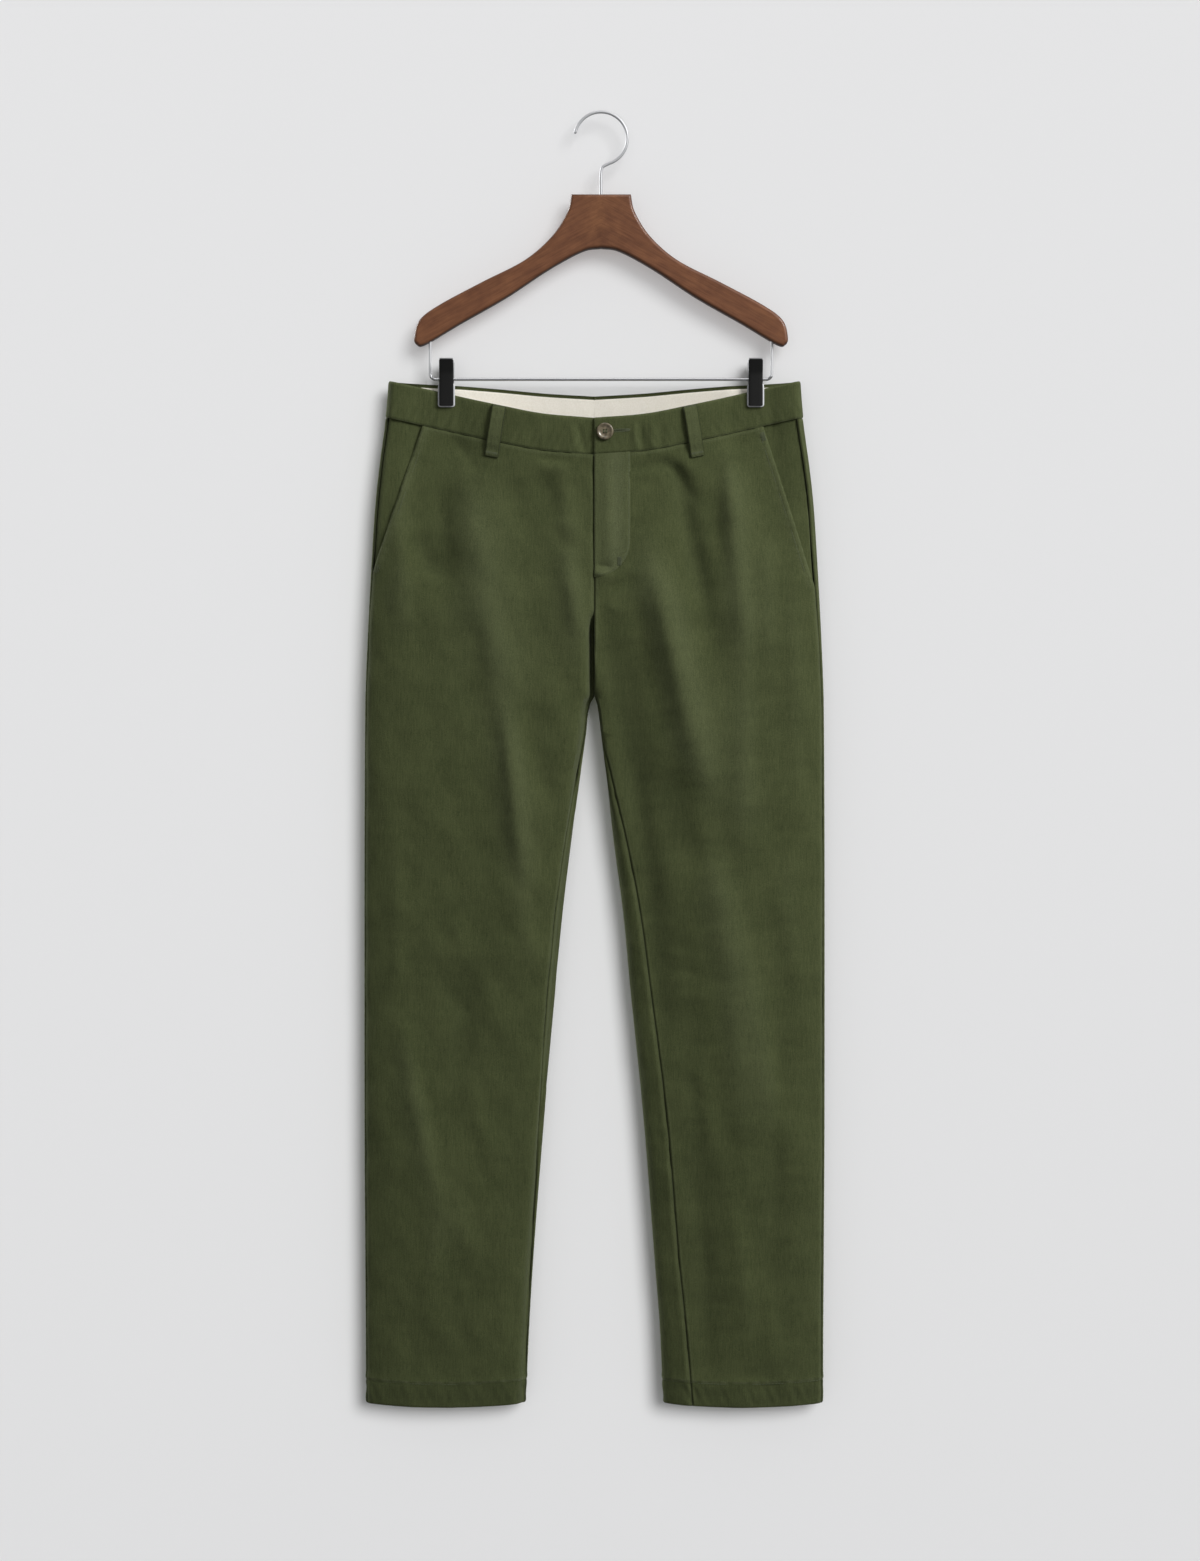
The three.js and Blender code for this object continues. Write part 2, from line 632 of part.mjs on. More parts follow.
// The hook is most of a circle from its tip, then a short bend into the straight stem.
const HOOK_TIP_ANGLE = 170;
const HOOK_BEND_ANGLE = -72;
const HOOK_BEND = [[2.6, 1.6], [0.3, 6], [0, 12]];
const hookPoints = [
  ...arcPoints(0, HOOK_CENTRE_Z, HOOK_RADIUS, HOOK_TIP_ANGLE, HOOK_BEND_ANGLE, 16),
  ...HOOK_BEND.map(([x, below]) => new THREE.Vector3(x, 0, HOOK_CENTRE_Z - HOOK_RADIUS - below)),
  new THREE.Vector3(0, 0, BODY_TOP_Z - STEM_DEPTH),
];
add('hanger_hook', wire(hookPoints, WIRE, 2), 'wire');

// Half of the wooden body's outline, from the neck round the end and back along the underside.
const BODY_UPPER = [[34.8, -102], [50.5, -127], [78.8, -151.7], [123, -174.4], [167, -198], [187, -213.5], [192.3, -231]];
const BODY_LOWER = [[190, -238], [181, -238.3], [145, -217], [97.6, -190], [53.6, -161], [19, -142.3]];
const NECK_HALF = 30.7;
const BODY_MIDDLE_Z = -139;
const BODY_BEVEL = 2.4;

function bodyGeometry() {
  const side = (points, sign) => points.map(([x, z]) => new THREE.Vector2(sign * x, z));
  const outline = new THREE.Shape();
  outline.moveTo(-NECK_HALF, BODY_TOP_Z);
  outline.lineTo(NECK_HALF, BODY_TOP_Z);
  outline.splineThru(side(BODY_UPPER, 1));
  outline.splineThru(side(BODY_LOWER, 1));
  outline.splineThru([new THREE.Vector2(0, BODY_MIDDLE_Z), ...side([...BODY_LOWER].reverse(), -1)]);
  outline.splineThru(side([...BODY_UPPER].reverse(), -1));
  outline.lineTo(-NECK_HALF, BODY_TOP_Z);
  const geometry = new THREE.ExtrudeGeometry(outline, {
    depth: BODY_THICKNESS - 2 * BODY_BEVEL,
    curveSegments: 2,
    bevelEnabled: true,
    bevelThickness: BODY_BEVEL,
    bevelSize: BODY_BEVEL,
    bevelOffset: -BODY_BEVEL,
    bevelSegments: 2,
  });
  geometry.translate(0, 0, -BODY_THICKNESS / 2 + BODY_BEVEL);
  geometry.rotateX(Math.PI / 2);
  return geometry;
}

// A round hole for a wire, between two heights.
function bore(x, top, bottom, diameter) {
  const radius = diameter / 2 + GAP;
  const geometry = new THREE.CylinderGeometry(radius, radius, top - bottom, 12);
  geometry.rotateX(Math.PI / 2);
  geometry.translate(x, 0, (top + bottom) / 2);
  return toSolid(geometry);
}

const BODY_END_Z = -235.5;
const BAR_TOP_Z = BODY_END_Z + BAR_DEPTH;
const BORE_CLEAR = 20;
let body = toSolid(bodyGeometry());
body = body.subtract(bore(0, BODY_TOP_Z + BORE_CLEAR, BODY_TOP_Z - STEM_DEPTH - GAP, WIRE));
for (const sign of [-1, 1]) {
  body = body.subtract(bore(sign * BAR_HALF, BAR_TOP_Z + GAP, BODY_END_Z - BORE_CLEAR, BAR_WIRE));
}
add('hanger_body', toGeometry(body), 'walnut');

// The bar hangs from both ends of the body and carries the clips.
const BAR_RUN = 140;
const BAR_LEAD = 4;
const barPoints = [
  new THREE.Vector3(-BAR_HALF, 0, BAR_TOP_Z),
  new THREE.Vector3(-BAR_HALF, 0, BAR_Z + CORNER + BAR_LEAD),
  ...arcPoints(-BAR_HALF + CORNER, BAR_Z + CORNER, CORNER, 180, 270, 4),
  new THREE.Vector3(-BAR_HALF + CORNER + BAR_LEAD, 0, BAR_Z),
  new THREE.Vector3(-BAR_RUN, 0, BAR_Z),
  new THREE.Vector3(BAR_RUN, 0, BAR_Z),
  new THREE.Vector3(BAR_HALF - CORNER - BAR_LEAD, 0, BAR_Z),
  ...arcPoints(BAR_HALF - CORNER, BAR_Z + CORNER, CORNER, -90, 0, 4),
  new THREE.Vector3(BAR_HALF, 0, BAR_Z + CORNER + BAR_LEAD),
  new THREE.Vector3(BAR_HALF, 0, BAR_TOP_Z),
];
add('hanger_bar', wire(barPoints, BAR_WIRE, 1), 'wire');

// Each clip: a hub on the bar, two bent jaws that pinch the waistband, and a dark grip plate on each jaw.
const CLIP_X = 159;
const CLIP_TOP_Z = -253;
const CLIP_BOTTOM_Z = -303;
const JAW_WIDTH = 17.5;
const JAW_WALL = 1.2;
const JAW_GRIP = 4.35;
const JAW_OPEN = 9;
const HUB_RADIUS = 3.9;
const HUB_LENGTH = 11;
const GRIP_WIDTH = 14.6;
const GRIP_WALL = 1.6;
const GRIP_MARGIN = 1.2;

// A plate bent as the jaw is, between two distances from the middle plane, over a stretch of its height.
function bentPlate(near, thickness, width, top, bottom) {
  const bend = BAR_Z + HUB_RADIUS + 2;
  const lean = (z) => near + Math.max(0, (z - bend) / (CLIP_TOP_Z - bend)) * (JAW_OPEN - JAW_GRIP);
  const heights = [bottom, bend, top];
  const outline = new THREE.Shape([
    ...heights.map((z) => new THREE.Vector2(lean(z), z)),
    ...[...heights].reverse().map((z) => new THREE.Vector2(lean(z) + thickness, z)),
  ]);
  const geometry = new THREE.ExtrudeGeometry(outline, { depth: width, bevelEnabled: false });
  geometry.translate(0, 0, -width / 2);
  geometry.applyMatrix4(new THREE.Matrix4().set(0, 0, 1, 0, 1, 0, 0, 0, 0, 1, 0, 0, 0, 0, 0, 1));
  return geometry;
}

for (const [name, sign] of [['right', -1], ['left', 1]]) {
  const hub = new THREE.LatheGeometry([
    [BAR_WIRE / 2 + GAP, -HUB_LENGTH / 2], [HUB_RADIUS, -HUB_LENGTH / 2], [HUB_RADIUS, HUB_LENGTH / 2],
    [BAR_WIRE / 2 + GAP, HUB_LENGTH / 2], [BAR_WIRE / 2 + GAP, -HUB_LENGTH / 2],
  ].map(([radius, height]) => new THREE.Vector2(radius, height)), 20);
  hub.rotateZ(Math.PI / 2);
  add(`clip_hub_${name}`, hub, 'wire').position.set(sign * CLIP_X, 0, BAR_Z);
  for (const [face, way] of [['front', Math.PI], ['back', 0]]) {
    const jaw = bentPlate(JAW_GRIP + GAP, JAW_WALL, JAW_WIDTH, CLIP_TOP_Z, CLIP_BOTTOM_Z);
    const plate = bentPlate(
      JAW_GRIP + JAW_WALL + 2 * GAP,
      GRIP_WALL,
      GRIP_WIDTH,
      CLIP_TOP_Z - GRIP_MARGIN,
      CLIP_BOTTOM_Z + GRIP_MARGIN,
    );
    for (const [piece, geometry, material] of [['jaw', jaw, 'wire'], ['grip', plate, 'grip']]) {
      const mesh = add(`clip_${piece}_${face}_${name}`, geometry, material);
      mesh.rotation.z = way;
      mesh.position.x = sign * CLIP_X;
    }
  }
}

export default trousers;
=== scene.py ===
import json
import math

import bpy
import numpy as np
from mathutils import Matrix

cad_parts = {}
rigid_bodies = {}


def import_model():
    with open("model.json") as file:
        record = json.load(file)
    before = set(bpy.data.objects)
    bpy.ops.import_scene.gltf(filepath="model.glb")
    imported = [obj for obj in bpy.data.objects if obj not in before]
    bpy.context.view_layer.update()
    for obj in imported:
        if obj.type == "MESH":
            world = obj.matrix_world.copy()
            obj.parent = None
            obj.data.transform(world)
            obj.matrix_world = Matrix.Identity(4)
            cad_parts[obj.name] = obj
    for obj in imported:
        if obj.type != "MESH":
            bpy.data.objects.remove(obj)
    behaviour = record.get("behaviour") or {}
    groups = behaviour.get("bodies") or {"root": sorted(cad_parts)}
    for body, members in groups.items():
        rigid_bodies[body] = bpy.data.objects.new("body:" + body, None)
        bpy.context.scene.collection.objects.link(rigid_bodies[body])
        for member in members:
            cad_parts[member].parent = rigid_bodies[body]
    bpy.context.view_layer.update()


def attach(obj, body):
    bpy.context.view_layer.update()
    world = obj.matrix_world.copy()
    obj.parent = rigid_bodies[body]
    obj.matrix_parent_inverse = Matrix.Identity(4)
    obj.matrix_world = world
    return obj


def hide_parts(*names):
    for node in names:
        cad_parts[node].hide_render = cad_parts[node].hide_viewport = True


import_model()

# The studio: a camera straight on to the garment, a pale wall and floor, and light from the upper right.
# The wall shows only from the front, so it never stands between the camera and the garment's back.
# The camera and the lamps are placed in metres. The meshes here and below are made in millimetres.
MM = 0.001
PIXEL = 1.03 * MM
PHOTO_HEIGHT = 1561
SENSOR = 36
CAMERA_BACK = 3.5
CAMERA_X = -0.00103
CAMERA_Z = -0.687
WALL_Y = 26.5
WALL_TOP_Z = 2200
FLOOR_Z = -1620
STAGE_HALF = 5000
PALE_GREY = (0.6, 0.6, 0.6, 1)
DARK_GREY = (0.25, 0.25, 0.25, 1)
GARMENT_MIDDLE = (0, 0, -0.7)
BOUNCE = 0.25
BACKDROP = 0.72
SHARP_ANGLE = math.radians(50)


class Wire:
    """A node's output. Python's operators on it add Math nodes."""

    def __init__(self, finish, socket):
        self.finish = finish
        self.socket = socket

    def __add__(self, other):
        return self.finish.maths("ADD", self, other)

    def __sub__(self, other):
        return self.finish.maths("SUBTRACT", self, other)

    def __mul__(self, other):
        return self.finish.maths("MULTIPLY", self, other)

    def __pow__(self, other):
        return self.finish.maths("POWER", self, other)

    def __rsub__(self, other):
        return self.finish.maths("SUBTRACT", other, self)

    __radd__ = __add__
    __rmul__ = __mul__


class Finish:
    """The nodes of a material or a world, with one method that adds any node."""

    def __init__(self, name, kind="materials"):
        self.made = getattr(bpy.data, kind).new(name)
        self.made.use_nodes = True
        self.tree = self.made.node_tree
        self.tree.nodes.clear()

    def node(self, kind, settings=None, values=None, out=0):
        made = self.tree.nodes.new(kind)
        for key, value in (settings or {}).items():
            if key == "stops":
                ramp = made.color_ramp.elements
                for spare in range(len(value) - 2):
                    ramp.new(0.5)
                for stop, (place, colour) in zip(ramp, value):
                    stop.position = place
                    stop.color = colour
            else:
                setattr(made, key, value)
        for key, value in (values or {}).items():
            if isinstance(value, Wire):
                self.tree.links.new(value.socket, made.inputs[key])
            else:
                made.inputs[key].default_value = value
        return Wire(self, made.outputs[out])

    def maths(self, operation, *values):
        return self.node("ShaderNodeMath", {"operation": operation}, dict(enumerate(values)))

    def parts(self, vector):
        apart = self.node("ShaderNodeSeparateXYZ", values={0: vector})
        return [Wire(self, end) for end in apart.socket.node.outputs]

    def blend(self, share, first, second):
        return self.node("ShaderNodeMix", {"data_type": "RGBA"}, {0: share, 6: first, 7: second}, out=2)

    def place(self):
        return self.node("ShaderNodeTexCoord", out=3)

    def stretched(self, x, y, z, vector=None):
        values = {0: vector or self.place(), 1: (x, y, z)}
        return self.node("ShaderNodeVectorMath", {"operation": "MULTIPLY"}, values)

    def noise(self, scale, detail=2, vector=None):
        values = {"Vector": vector or self.place(), "Scale": scale, "Detail": detail}
        return self.node("ShaderNodeTexNoise", values=values)

    def bump(self, height, distance, strength=1):
        values = {"Height": height, "Distance": distance, "Strength": strength}
        return self.node("ShaderNodeBump", values=values)

    def show(self, shader, output="ShaderNodeOutputMaterial"):
        self.tree.links.new(shader.socket, self.tree.nodes.new(output).inputs["Surface"])
        return self.made

    def skin(self, values):
        return self.show(self.node("ShaderNodeBsdfPrincipled", values=values))


def tint(red, green, blue):
    """A colour for a socket, from 0 to 255 as the eye reads it."""
    parts = [c / 255 for c in (red, green, blue)]
    return (*[c / 12.92 if c < 0.04045 else ((c + 0.055) / 1.055) ** 2.4 for c in parts], 1)


def mesh_object(name, points, faces, material):
    """An object from points in millimetres, smooth but for its sharp edges."""
    mesh = bpy.data.meshes.new(name)
    places = (np.asarray(points, float).reshape(-1, 3) * MM).tolist()
    mesh.from_pydata(places, [], [list(face) for face in faces])
    mesh.materials.append(material)
    mesh.shade_smooth()
    mesh.set_sharp_from_angle(angle=SHARP_ANGLE)
    made = bpy.data.objects.new(name, mesh)
    bpy.context.scene.collection.objects.link(made)
    return made


camera_data = bpy.data.cameras.new("camera")
camera_data.sensor_fit = "VERTICAL"
camera_data.sensor_height = SENSOR
camera_data.lens = SENSOR * CAMERA_BACK / (PHOTO_HEIGHT * PIXEL)
camera = bpy.data.objects.new("camera", camera_data)
camera.location = (CAMERA_X, -CAMERA_BACK, CAMERA_Z)
camera.rotation_euler = (math.pi / 2, 0, 0)
bpy.context.scene.collection.objects.link(camera)
bpy.context.scene.camera = camera

wall_finish = Finish("studio_wall")
seen = wall_finish.node("ShaderNodeLightPath")
behind = wall_finish.node("ShaderNodeNewGeometry", out=6)
plaster = wall_finish.node("ShaderNodeBsdfDiffuse", values={"Color": (0.8, 0.8, 0.805, 1)})
clear = wall_finish.node("ShaderNodeBsdfTransparent")
layers = {0: seen * (1 - behind), 1: clear, 2: plaster}
wall_material = wall_finish.show(wall_finish.node("ShaderNodeMixShader", values=layers))
corners = ((-1, FLOOR_Z), (1, FLOOR_Z), (1, WALL_TOP_Z), (-1, WALL_TOP_Z))
wall_points = [(side * STAGE_HALF, WALL_Y, z) for side, z in corners]
wall = mesh_object("studio_wall", wall_points, [(0, 1, 2, 3)], wall_material)

# The floor looks pale but throws back less light than it seems to, so the hems stay dark as in the photo.
floor_finish = Finish("studio_floor")
floor_grey = floor_finish.blend(floor_finish.node("ShaderNodeLightPath"), DARK_GREY, PALE_GREY)
floor_material = floor_finish.skin({"Base Color": floor_grey, "Roughness": 0.9, "Specular IOR Level": 0})
corners = ((-1, -1), (1, -1), (1, 1), (-1, 1))
floor_points = [(side * STAGE_HALF, ahead * STAGE_HALF, FLOOR_Z) for side, ahead in corners]
floor = mesh_object("studio_floor", floor_points, [(0, 1, 2, 3)], floor_material)


def lamp(name, kind, place, size, power, listed, state="EXCLUDE"):
    """A lamp aimed at the garment's middle, which lights the listed objects alone, or all but them.
    A sun's size is the angle of its disc."""
    data = bpy.data.lights.new(name, kind)
    data.energy = power
    if kind == "SUN":
        data.angle = size
    else:
        data.shape, data.size = "DISK", size
    made = bpy.data.objects.new(name, data)
    made.location = place
    way = np.subtract(GARMENT_MIDDLE, place)
    yaw = math.atan2(way[1], way[0]) - math.pi / 2
    pitch = math.atan2(way[2], math.hypot(way[0], way[1]))
    made.rotation_euler = (math.pi / 2 + pitch, 0, yaw)
    bpy.context.scene.collection.objects.link(made)
    lit = bpy.data.collections.new(name)
    for ground in listed:
        lit.objects.link(ground)
    for link in lit.collection_objects:
        link.light_linking.link_state = state
    made.light_linking.receiver_collection = lit
    return made


lamp("wall_wash", "SUN", (1.6, -3.8, 0.75), 0.5, 1.1, [wall], "INCLUDE")
past_hanger = lamp("wall_wash_past_hanger", "SUN", (1.6, -3.8, 0.75), 0.5, 0.9, [wall], "INCLUDE")
lamp("wall_fill", "SUN", (0.1, -3.8, -0.6), 0.9, 0.55, [wall], "INCLUDE")
lamp("floor_wash", "SUN", (0.8, -0.6, 3), 0.9, 2.9, [floor], "INCLUDE")
lamp("key", "AREA", (3.8, -2.9, 2.35), 2.2, 352, [wall, floor])
lamp("top", "AREA", (0.3, -1.2, 2.4), 2.4, 30, [wall, floor])
lamp("back", "AREA", (-3.5, 1.7, 1.3), 1.6, 200, [wall, floor])
bpy.context.scene.view_settings.view_transform = "Standard"
air = Finish("studio_air", "worlds")
glowing = air.node("ShaderNodeLightPath") * (BACKDROP - BOUNCE) + BOUNCE
glow = air.node("ShaderNodeBackground", values={"Color": (0.985, 0.99, 1, 1), "Strength": glowing})
bpy.context.scene.world = air.show(glow, "ShaderNodeOutputWorld")

# The hanger's hook: round steel wire, chromed, bent to most of a circle with its tip rounded off.
# Its straight stem is pressed into the wood.
WIRE_THICK = 3.2
HOOK_RADIUS = 27.2
HOOK_CENTRE_Z = -(HOOK_RADIUS - WIRE_THICK / 2)
NECK_TOP_Z = -84
HOOK_SWEEP = (170, -72)
HOOK_BEND = ((2.6, 1.6), (0.9, 4), (0.1, 8), (0, 12))
STEM_Z = -74
STEM_SUNK = 14

chrome = Finish("chromed_wire")
scuff = chrome.noise(220, 3) * 0.14 + 0.48
chrome_material = chrome.skin({"Base Color": tint(188, 189, 191), "Metallic": 0.65, "Roughness": scuff})


def rounded(points, steps):
    """A smooth line through points, with steps between each two."""
    points = np.asarray(points, float)
    ends = np.vstack([2 * points[0] - points[1], points, 2 * points[-1] - points[-2]])
    t = (np.arange(steps) / steps)[:, None]
    runs = []
    for a, b, c, d in zip(ends, ends[1:], ends[2:], ends[3:]):
        bend = 2 * a - 5 * b + 4 * c - d
        runs.append(0.5 * (2 * b + (c - a) * t + bend * t**2 + (3 * b - a - 3 * c + d) * t**3))
    return np.vstack([*runs, points[-1:]])


def tube(name, path, radii, material, sides=16):
    """A closed round tube along a line in the upright plane through the hanger."""
    path = np.asarray(path, float)
    along = np.gradient(path, axis=0)
    along /= np.linalg.norm(along, axis=1)[:, None]
    aside = np.cross(along, (0, 1, 0))
    angle = np.linspace(0, 2 * np.pi, sides, endpoint=False)
    round_it, through = np.cos(angle)[None, :, None], np.sin(angle)[None, :, None]
    ring = round_it * aside[:, None] + through * np.array((0, 1, 0))
    points = (path[:, None] + ring * np.asarray(radii)[:, None, None]).reshape(-1, 3)
    faces = []
    for i in range(len(path) - 1):
        for j in range(sides):
            k = (j + 1) % sides
            faces.append((i * sides + j, (i + 1) * sides + j, (i + 1) * sides + k, i * sides + k))
    faces.append(tuple(range(sides)))
    faces.append(tuple(reversed(range(len(points) - sides, len(points)))))
    return mesh_object(name, points, faces, material)


sweep = np.radians(np.linspace(*HOOK_SWEEP, 30))
hook_line = [(HOOK_RADIUS * math.cos(a), 0, HOOK_CENTRE_Z + HOOK_RADIUS * math.sin(a)) for a in sweep]
hook_line += [(x, 0, HOOK_CENTRE_Z - HOOK_RADIUS - below) for x, below in HOOK_BEND]
hook_line += [(0, 0, z) for z in (STEM_Z, NECK_TOP_Z, NECK_TOP_Z - STEM_SUNK)]
hook_path = rounded(hook_line, 4)
tip = np.minimum(np.linalg.norm(hook_path - hook_path[0], axis=1) / WIRE_THICK, 1)
hook_radii = WIRE_THICK / 2 * np.sqrt(1 - (1 - np.clip(tip * 2 + 0.06, 0, 1)) ** 2)
hook = tube("hook", hook_path, hook_radii, chrome_material)
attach(hook, "root")
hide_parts("hanger_hook")

# The hanger's body: one flat walnut board, sawn to the shoulder line, its edges rounded over and waxed.
# The grain follows each arm, and the rounded rims are painted darker: painted shade, darkest across the
# middle of each edge.
BODY_SHOULDER = ((34.8, -102), (50.5, -127), (78.8, -151.7), (123, -174.4), (167, -198), (187, -213.5))
BODY_END = ((192.3, -231), (190, -238), (181, -238.3))
BODY_UNDERSIDE = ((145, -217), (97.6, -190), (53.6, -161), (19, -142.3))
NECK_HALF = 30.7
BODY_MIDDLE_Z = -139
BODY_THICK = 14
BODY_ROUND = 3.2
EDGE_SHADE_START = 6.9
EDGE_SHADE_DARKENS = 380
ARM_SLOPE = math.radians(29)

walnut = Finish("walnut")
mirrored = walnut.node("ShaderNodeVectorMath", {"operation": "ABSOLUTE"}, {0: walnut.place()})
slope = {"Vector": mirrored, "Rotation": (0, ARM_SLOPE, 0)}
along_arm = walnut.node("ShaderNodeVectorRotate", {"rotation_type": "EULER_XYZ"}, slope)
figure = walnut.noise(1.7, 4, walnut.stretched(11, 90, 150, along_arm))
pores = walnut.noise(1, 3, walnut.stretched(60, 900, 1300, along_arm))
stops = [(0.3, tint(98, 61, 40)), (0.45, tint(108, 68, 45))]
stops += [(0.56, tint(120, 77, 51)), (0.72, tint(104, 64, 42))]
grain = walnut.node("ShaderNodeValToRGB", {"stops": stops}, {"Fac": figure})
from_middle, from_centre, _ = walnut.parts(mirrored)
stain = walnut.blend(walnut.noise(75, 5) * 2.4 - 0.75, tint(90, 54, 34), tint(130, 86, 55))
grained = walnut.maths("MINIMUM", from_middle * 16 + 0.15, 0.62)
brown = walnut.blend(grained, stain, grain)
pored = walnut.blend((1 - pores) ** 3 * 1.1, brown, tint(66, 39, 26))
# Painted shade on the rounded rims, darker the further the rim turns from the flat faces.
rim = (EDGE_SHADE_START * MM - from_centre) * EDGE_SHADE_DARKENS
walnut_material = walnut.skin({
    "Base Color": walnut.blend(rim, pored, tint(58, 35, 24)),
    "Roughness": pores * 0.2 + 0.36,
    "Specular IOR Level": 0.3,
    "Normal": walnut.bump(pores, 0.00012),
    "Coat Weight": 0.12,
})


def worked(made):
    """The points and faces of an object once its bevels or cuts are carried out."""
    bpy.context.view_layer.update()
    done = made.evaluated_get(bpy.context.evaluated_depsgraph_get())
    mesh = bpy.data.meshes.new_from_object(done)
    return np.array([v.co for v in mesh.vertices]) / MM, [list(face.vertices) for face in mesh.polygons]


neck = (NECK_HALF, NECK_TOP_Z)
half = rounded([neck, *BODY_SHOULDER, *BODY_END, *BODY_UNDERSIDE, (0, BODY_MIDDLE_Z)], 8)
outline = [*half, *[(-x, z) for x, z in half[-2::-1]]]
board = bpy.data.curves.new("hanger_board", "CURVE")
board.dimensions = "2D"
board.fill_mode = "BOTH"
board.extrude = (BODY_THICK / 2 - BODY_ROUND) * MM
board.bevel_depth = BODY_ROUND * MM
board.bevel_resolution = 5
board.offset = -BODY_ROUND * MM
edge = board.splines.new("POLY")
edge.points.add(len(outline) - 1)
for point, (x, z) in zip(edge.points, outline):
    point.co = (x * MM, z * MM, 0, 1)
edge.use_cyclic_u = True
board_object = bpy.data.objects.new("hanger_board", board)
bpy.context.scene.collection.objects.link(board_object)
flat, board_faces = worked(board_object)
upright = np.stack([flat[:, 0], -flat[:, 2], flat[:, 1]], 1)
body = mesh_object("hanger_wood", upright, board_faces, walnut_material)
bpy.data.objects.remove(board_object)

# Some of the wall's light passes the hanger by, so its shadow is as faint as in the photo.
passed_by = bpy.data.collections.new("passed_by")
for piece in (body, hook):
    passed_by.objects.link(piece)
for link in passed_by.collection_objects:
    link.light_linking.link_state = "EXCLUDE"
past_hanger.light_linking.blocker_collection = passed_by
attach(body, "root")
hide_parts("hanger_body")

# The trouser bar: thinner chromed wire that drops from both ends of the board and runs straight across.
# It carries the two clips. It is polished brighter than the hook, so it mirrors the dark cloth below.
BAR_THICK = 3
BAR_HALF = 176
BAR_Z = -274
BAR_TOP_Z = -225.5
BAR_STRAIGHT_Z = -245
BAR_CORNER = 6

polish = Finish("polished_wire")
haze = polish.noise(220, 3) * 0.08 + 0.16
# The upright drops are painted paler and less metallic than the level run: a painted highlight.
upright = polish.maths("GREATER_THAN", polish.parts(polish.place())[2], (BAR_Z + BAR_THICK) * MM)
plating_with_painted_highlight = polish.blend(upright, tint(192, 193, 195), tint(235, 236, 238))
polish_material = polish.skin({"Base Color": plating_with_painted_highlight, "Metallic": 1 - upright * 0.5, "Roughness": haze})
turn_down = np.radians(np.linspace(180, 270, 9))
half_bar = [(-BAR_HALF, 0, BAR_TOP_Z), (-BAR_HALF, 0, BAR_STRAIGHT_Z)]
for a in turn_down:
    across, rise = 1 + math.cos(a), 1 + math.sin(a)
    half_bar.append((BAR_CORNER * across - BAR_HALF, 0, BAR_CORNER * rise + BAR_Z))
bar_path = [*half_bar, *[(-x, y, z) for x, y, z in reversed(half_bar)]]
bar = tube("trouser_bar", bar_path, np.full(len(bar_path), BAR_THICK / 2), polish_material)
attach(bar, "root")
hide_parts("hanger_bar")

# The clips: on each, a hub that slides on the bar, two sprung steel jaws and a black pad on each jaw.
# The jaws pinch the waistband and splay above the bar, where the fingers press.
CLIP_X = 159
CLIP_TOP_Z = -253
CLIP_BOTTOM_Z = -303
JAW_BEND_Z = -268.1
JAW_INSIDE = 4.65
JAW_THICK = 1.2
JAW_OPEN = 4.65
JAW_WIDE = 17.5
JAW_NARROW = 14
PAD_WIDE = 14.6
PAD_THICK = 1.6
PAD_MARGIN = 1.2
HUB_RADIUS = 3.9
HUB_LONG = 11
HUB_EDGE = 0.5
HUB_SIDES = 33
HUB_BORE = BAR_THICK / 2 + 0.3
PLATE_DISH = 0.35
PLATE_LIP = 4
JAW_CORNER = 3
JAW_CORNER_CUT = 2.6
JAW_WAIST_Z = -281
PAD_CORNER = 1.4
PAD_CORNER_CUT = 1.2
PAD_GAP = 0.3

rubber = Finish("black_pad")
grain = rubber.noise(1400, 2)
rubber_material = rubber.skin({
    "Base Color": rubber.blend(rubber.noise(90, 2), tint(14, 14, 14), tint(22, 22, 21)),
    "Specular IOR Level": 0.2,
    "Roughness": grain * 0.2 + 0.42,
    "Normal": rubber.bump(grain, 0.00008),
})


def bent_plate(name, inside, thick, half_width, top, bottom, material):
    """A plate bent as the jaw is. Its half width follows its height."""
    lip = np.linspace(bottom, bottom + PLATE_LIP, 9)
    heights = np.unique(np.concatenate([lip, np.linspace(bottom, top, 21), [top - 1]]))
    lean = inside + np.clip((heights - JAW_BEND_Z) / (CLIP_TOP_Z - JAW_BEND_Z), 0, None) * JAW_OPEN
    across = np.array((-1, -0.94, -0.8, -0.4, 0, 0.4, 0.8, 0.94, 1))
    x = across[None, :] * half_width(heights)[:, None]
    z = np.broadcast_to(heights[:, None], x.shape)
    dish = PLATE_DISH * np.clip((np.abs(across) - 0.8) / 0.2, 0, 1) ** 2
    near = np.stack([x, lean[:, None] + thick - dish + 0 * x, z], 2)
    far = np.stack([x, lean[:, None] + 0 * x, z], 2)
    return mesh_object(name, *shell(near, far), material)


def shell(outer, inner):
    """The points and faces of a closed wall between two grids of points."""
    rows, columns = outer.shape[:2]
    size = rows * columns
    at = np.arange(size).reshape(rows, columns)
    quads = np.stack([at[:-1, :-1], at[1:, :-1], at[1:, 1:], at[:-1, 1:]], 2).reshape(-1, 4)
    loop = np.concatenate([at[0, :-1], at[:-1, -1], at[-1, :0:-1], at[:0:-1, 0]])
    after = np.roll(loop, -1)
    rim = np.stack([loop, after, after + size, loop + size], 1)
    faces = np.vstack([quads, quads[:, ::-1] + size, rim])
    points = np.concatenate([outer.reshape(-1, 3), inner.reshape(-1, 3)])
    # The faces look outwards, whichever way the two grids run.
    a, b, c, d = (points[faces[:, k]] for k in range(4))
    volume = np.sum(a * np.cross(b, c)) + np.sum(a * np.cross(c, d))
    return points, faces if volume > 0 else faces[:, ::-1]


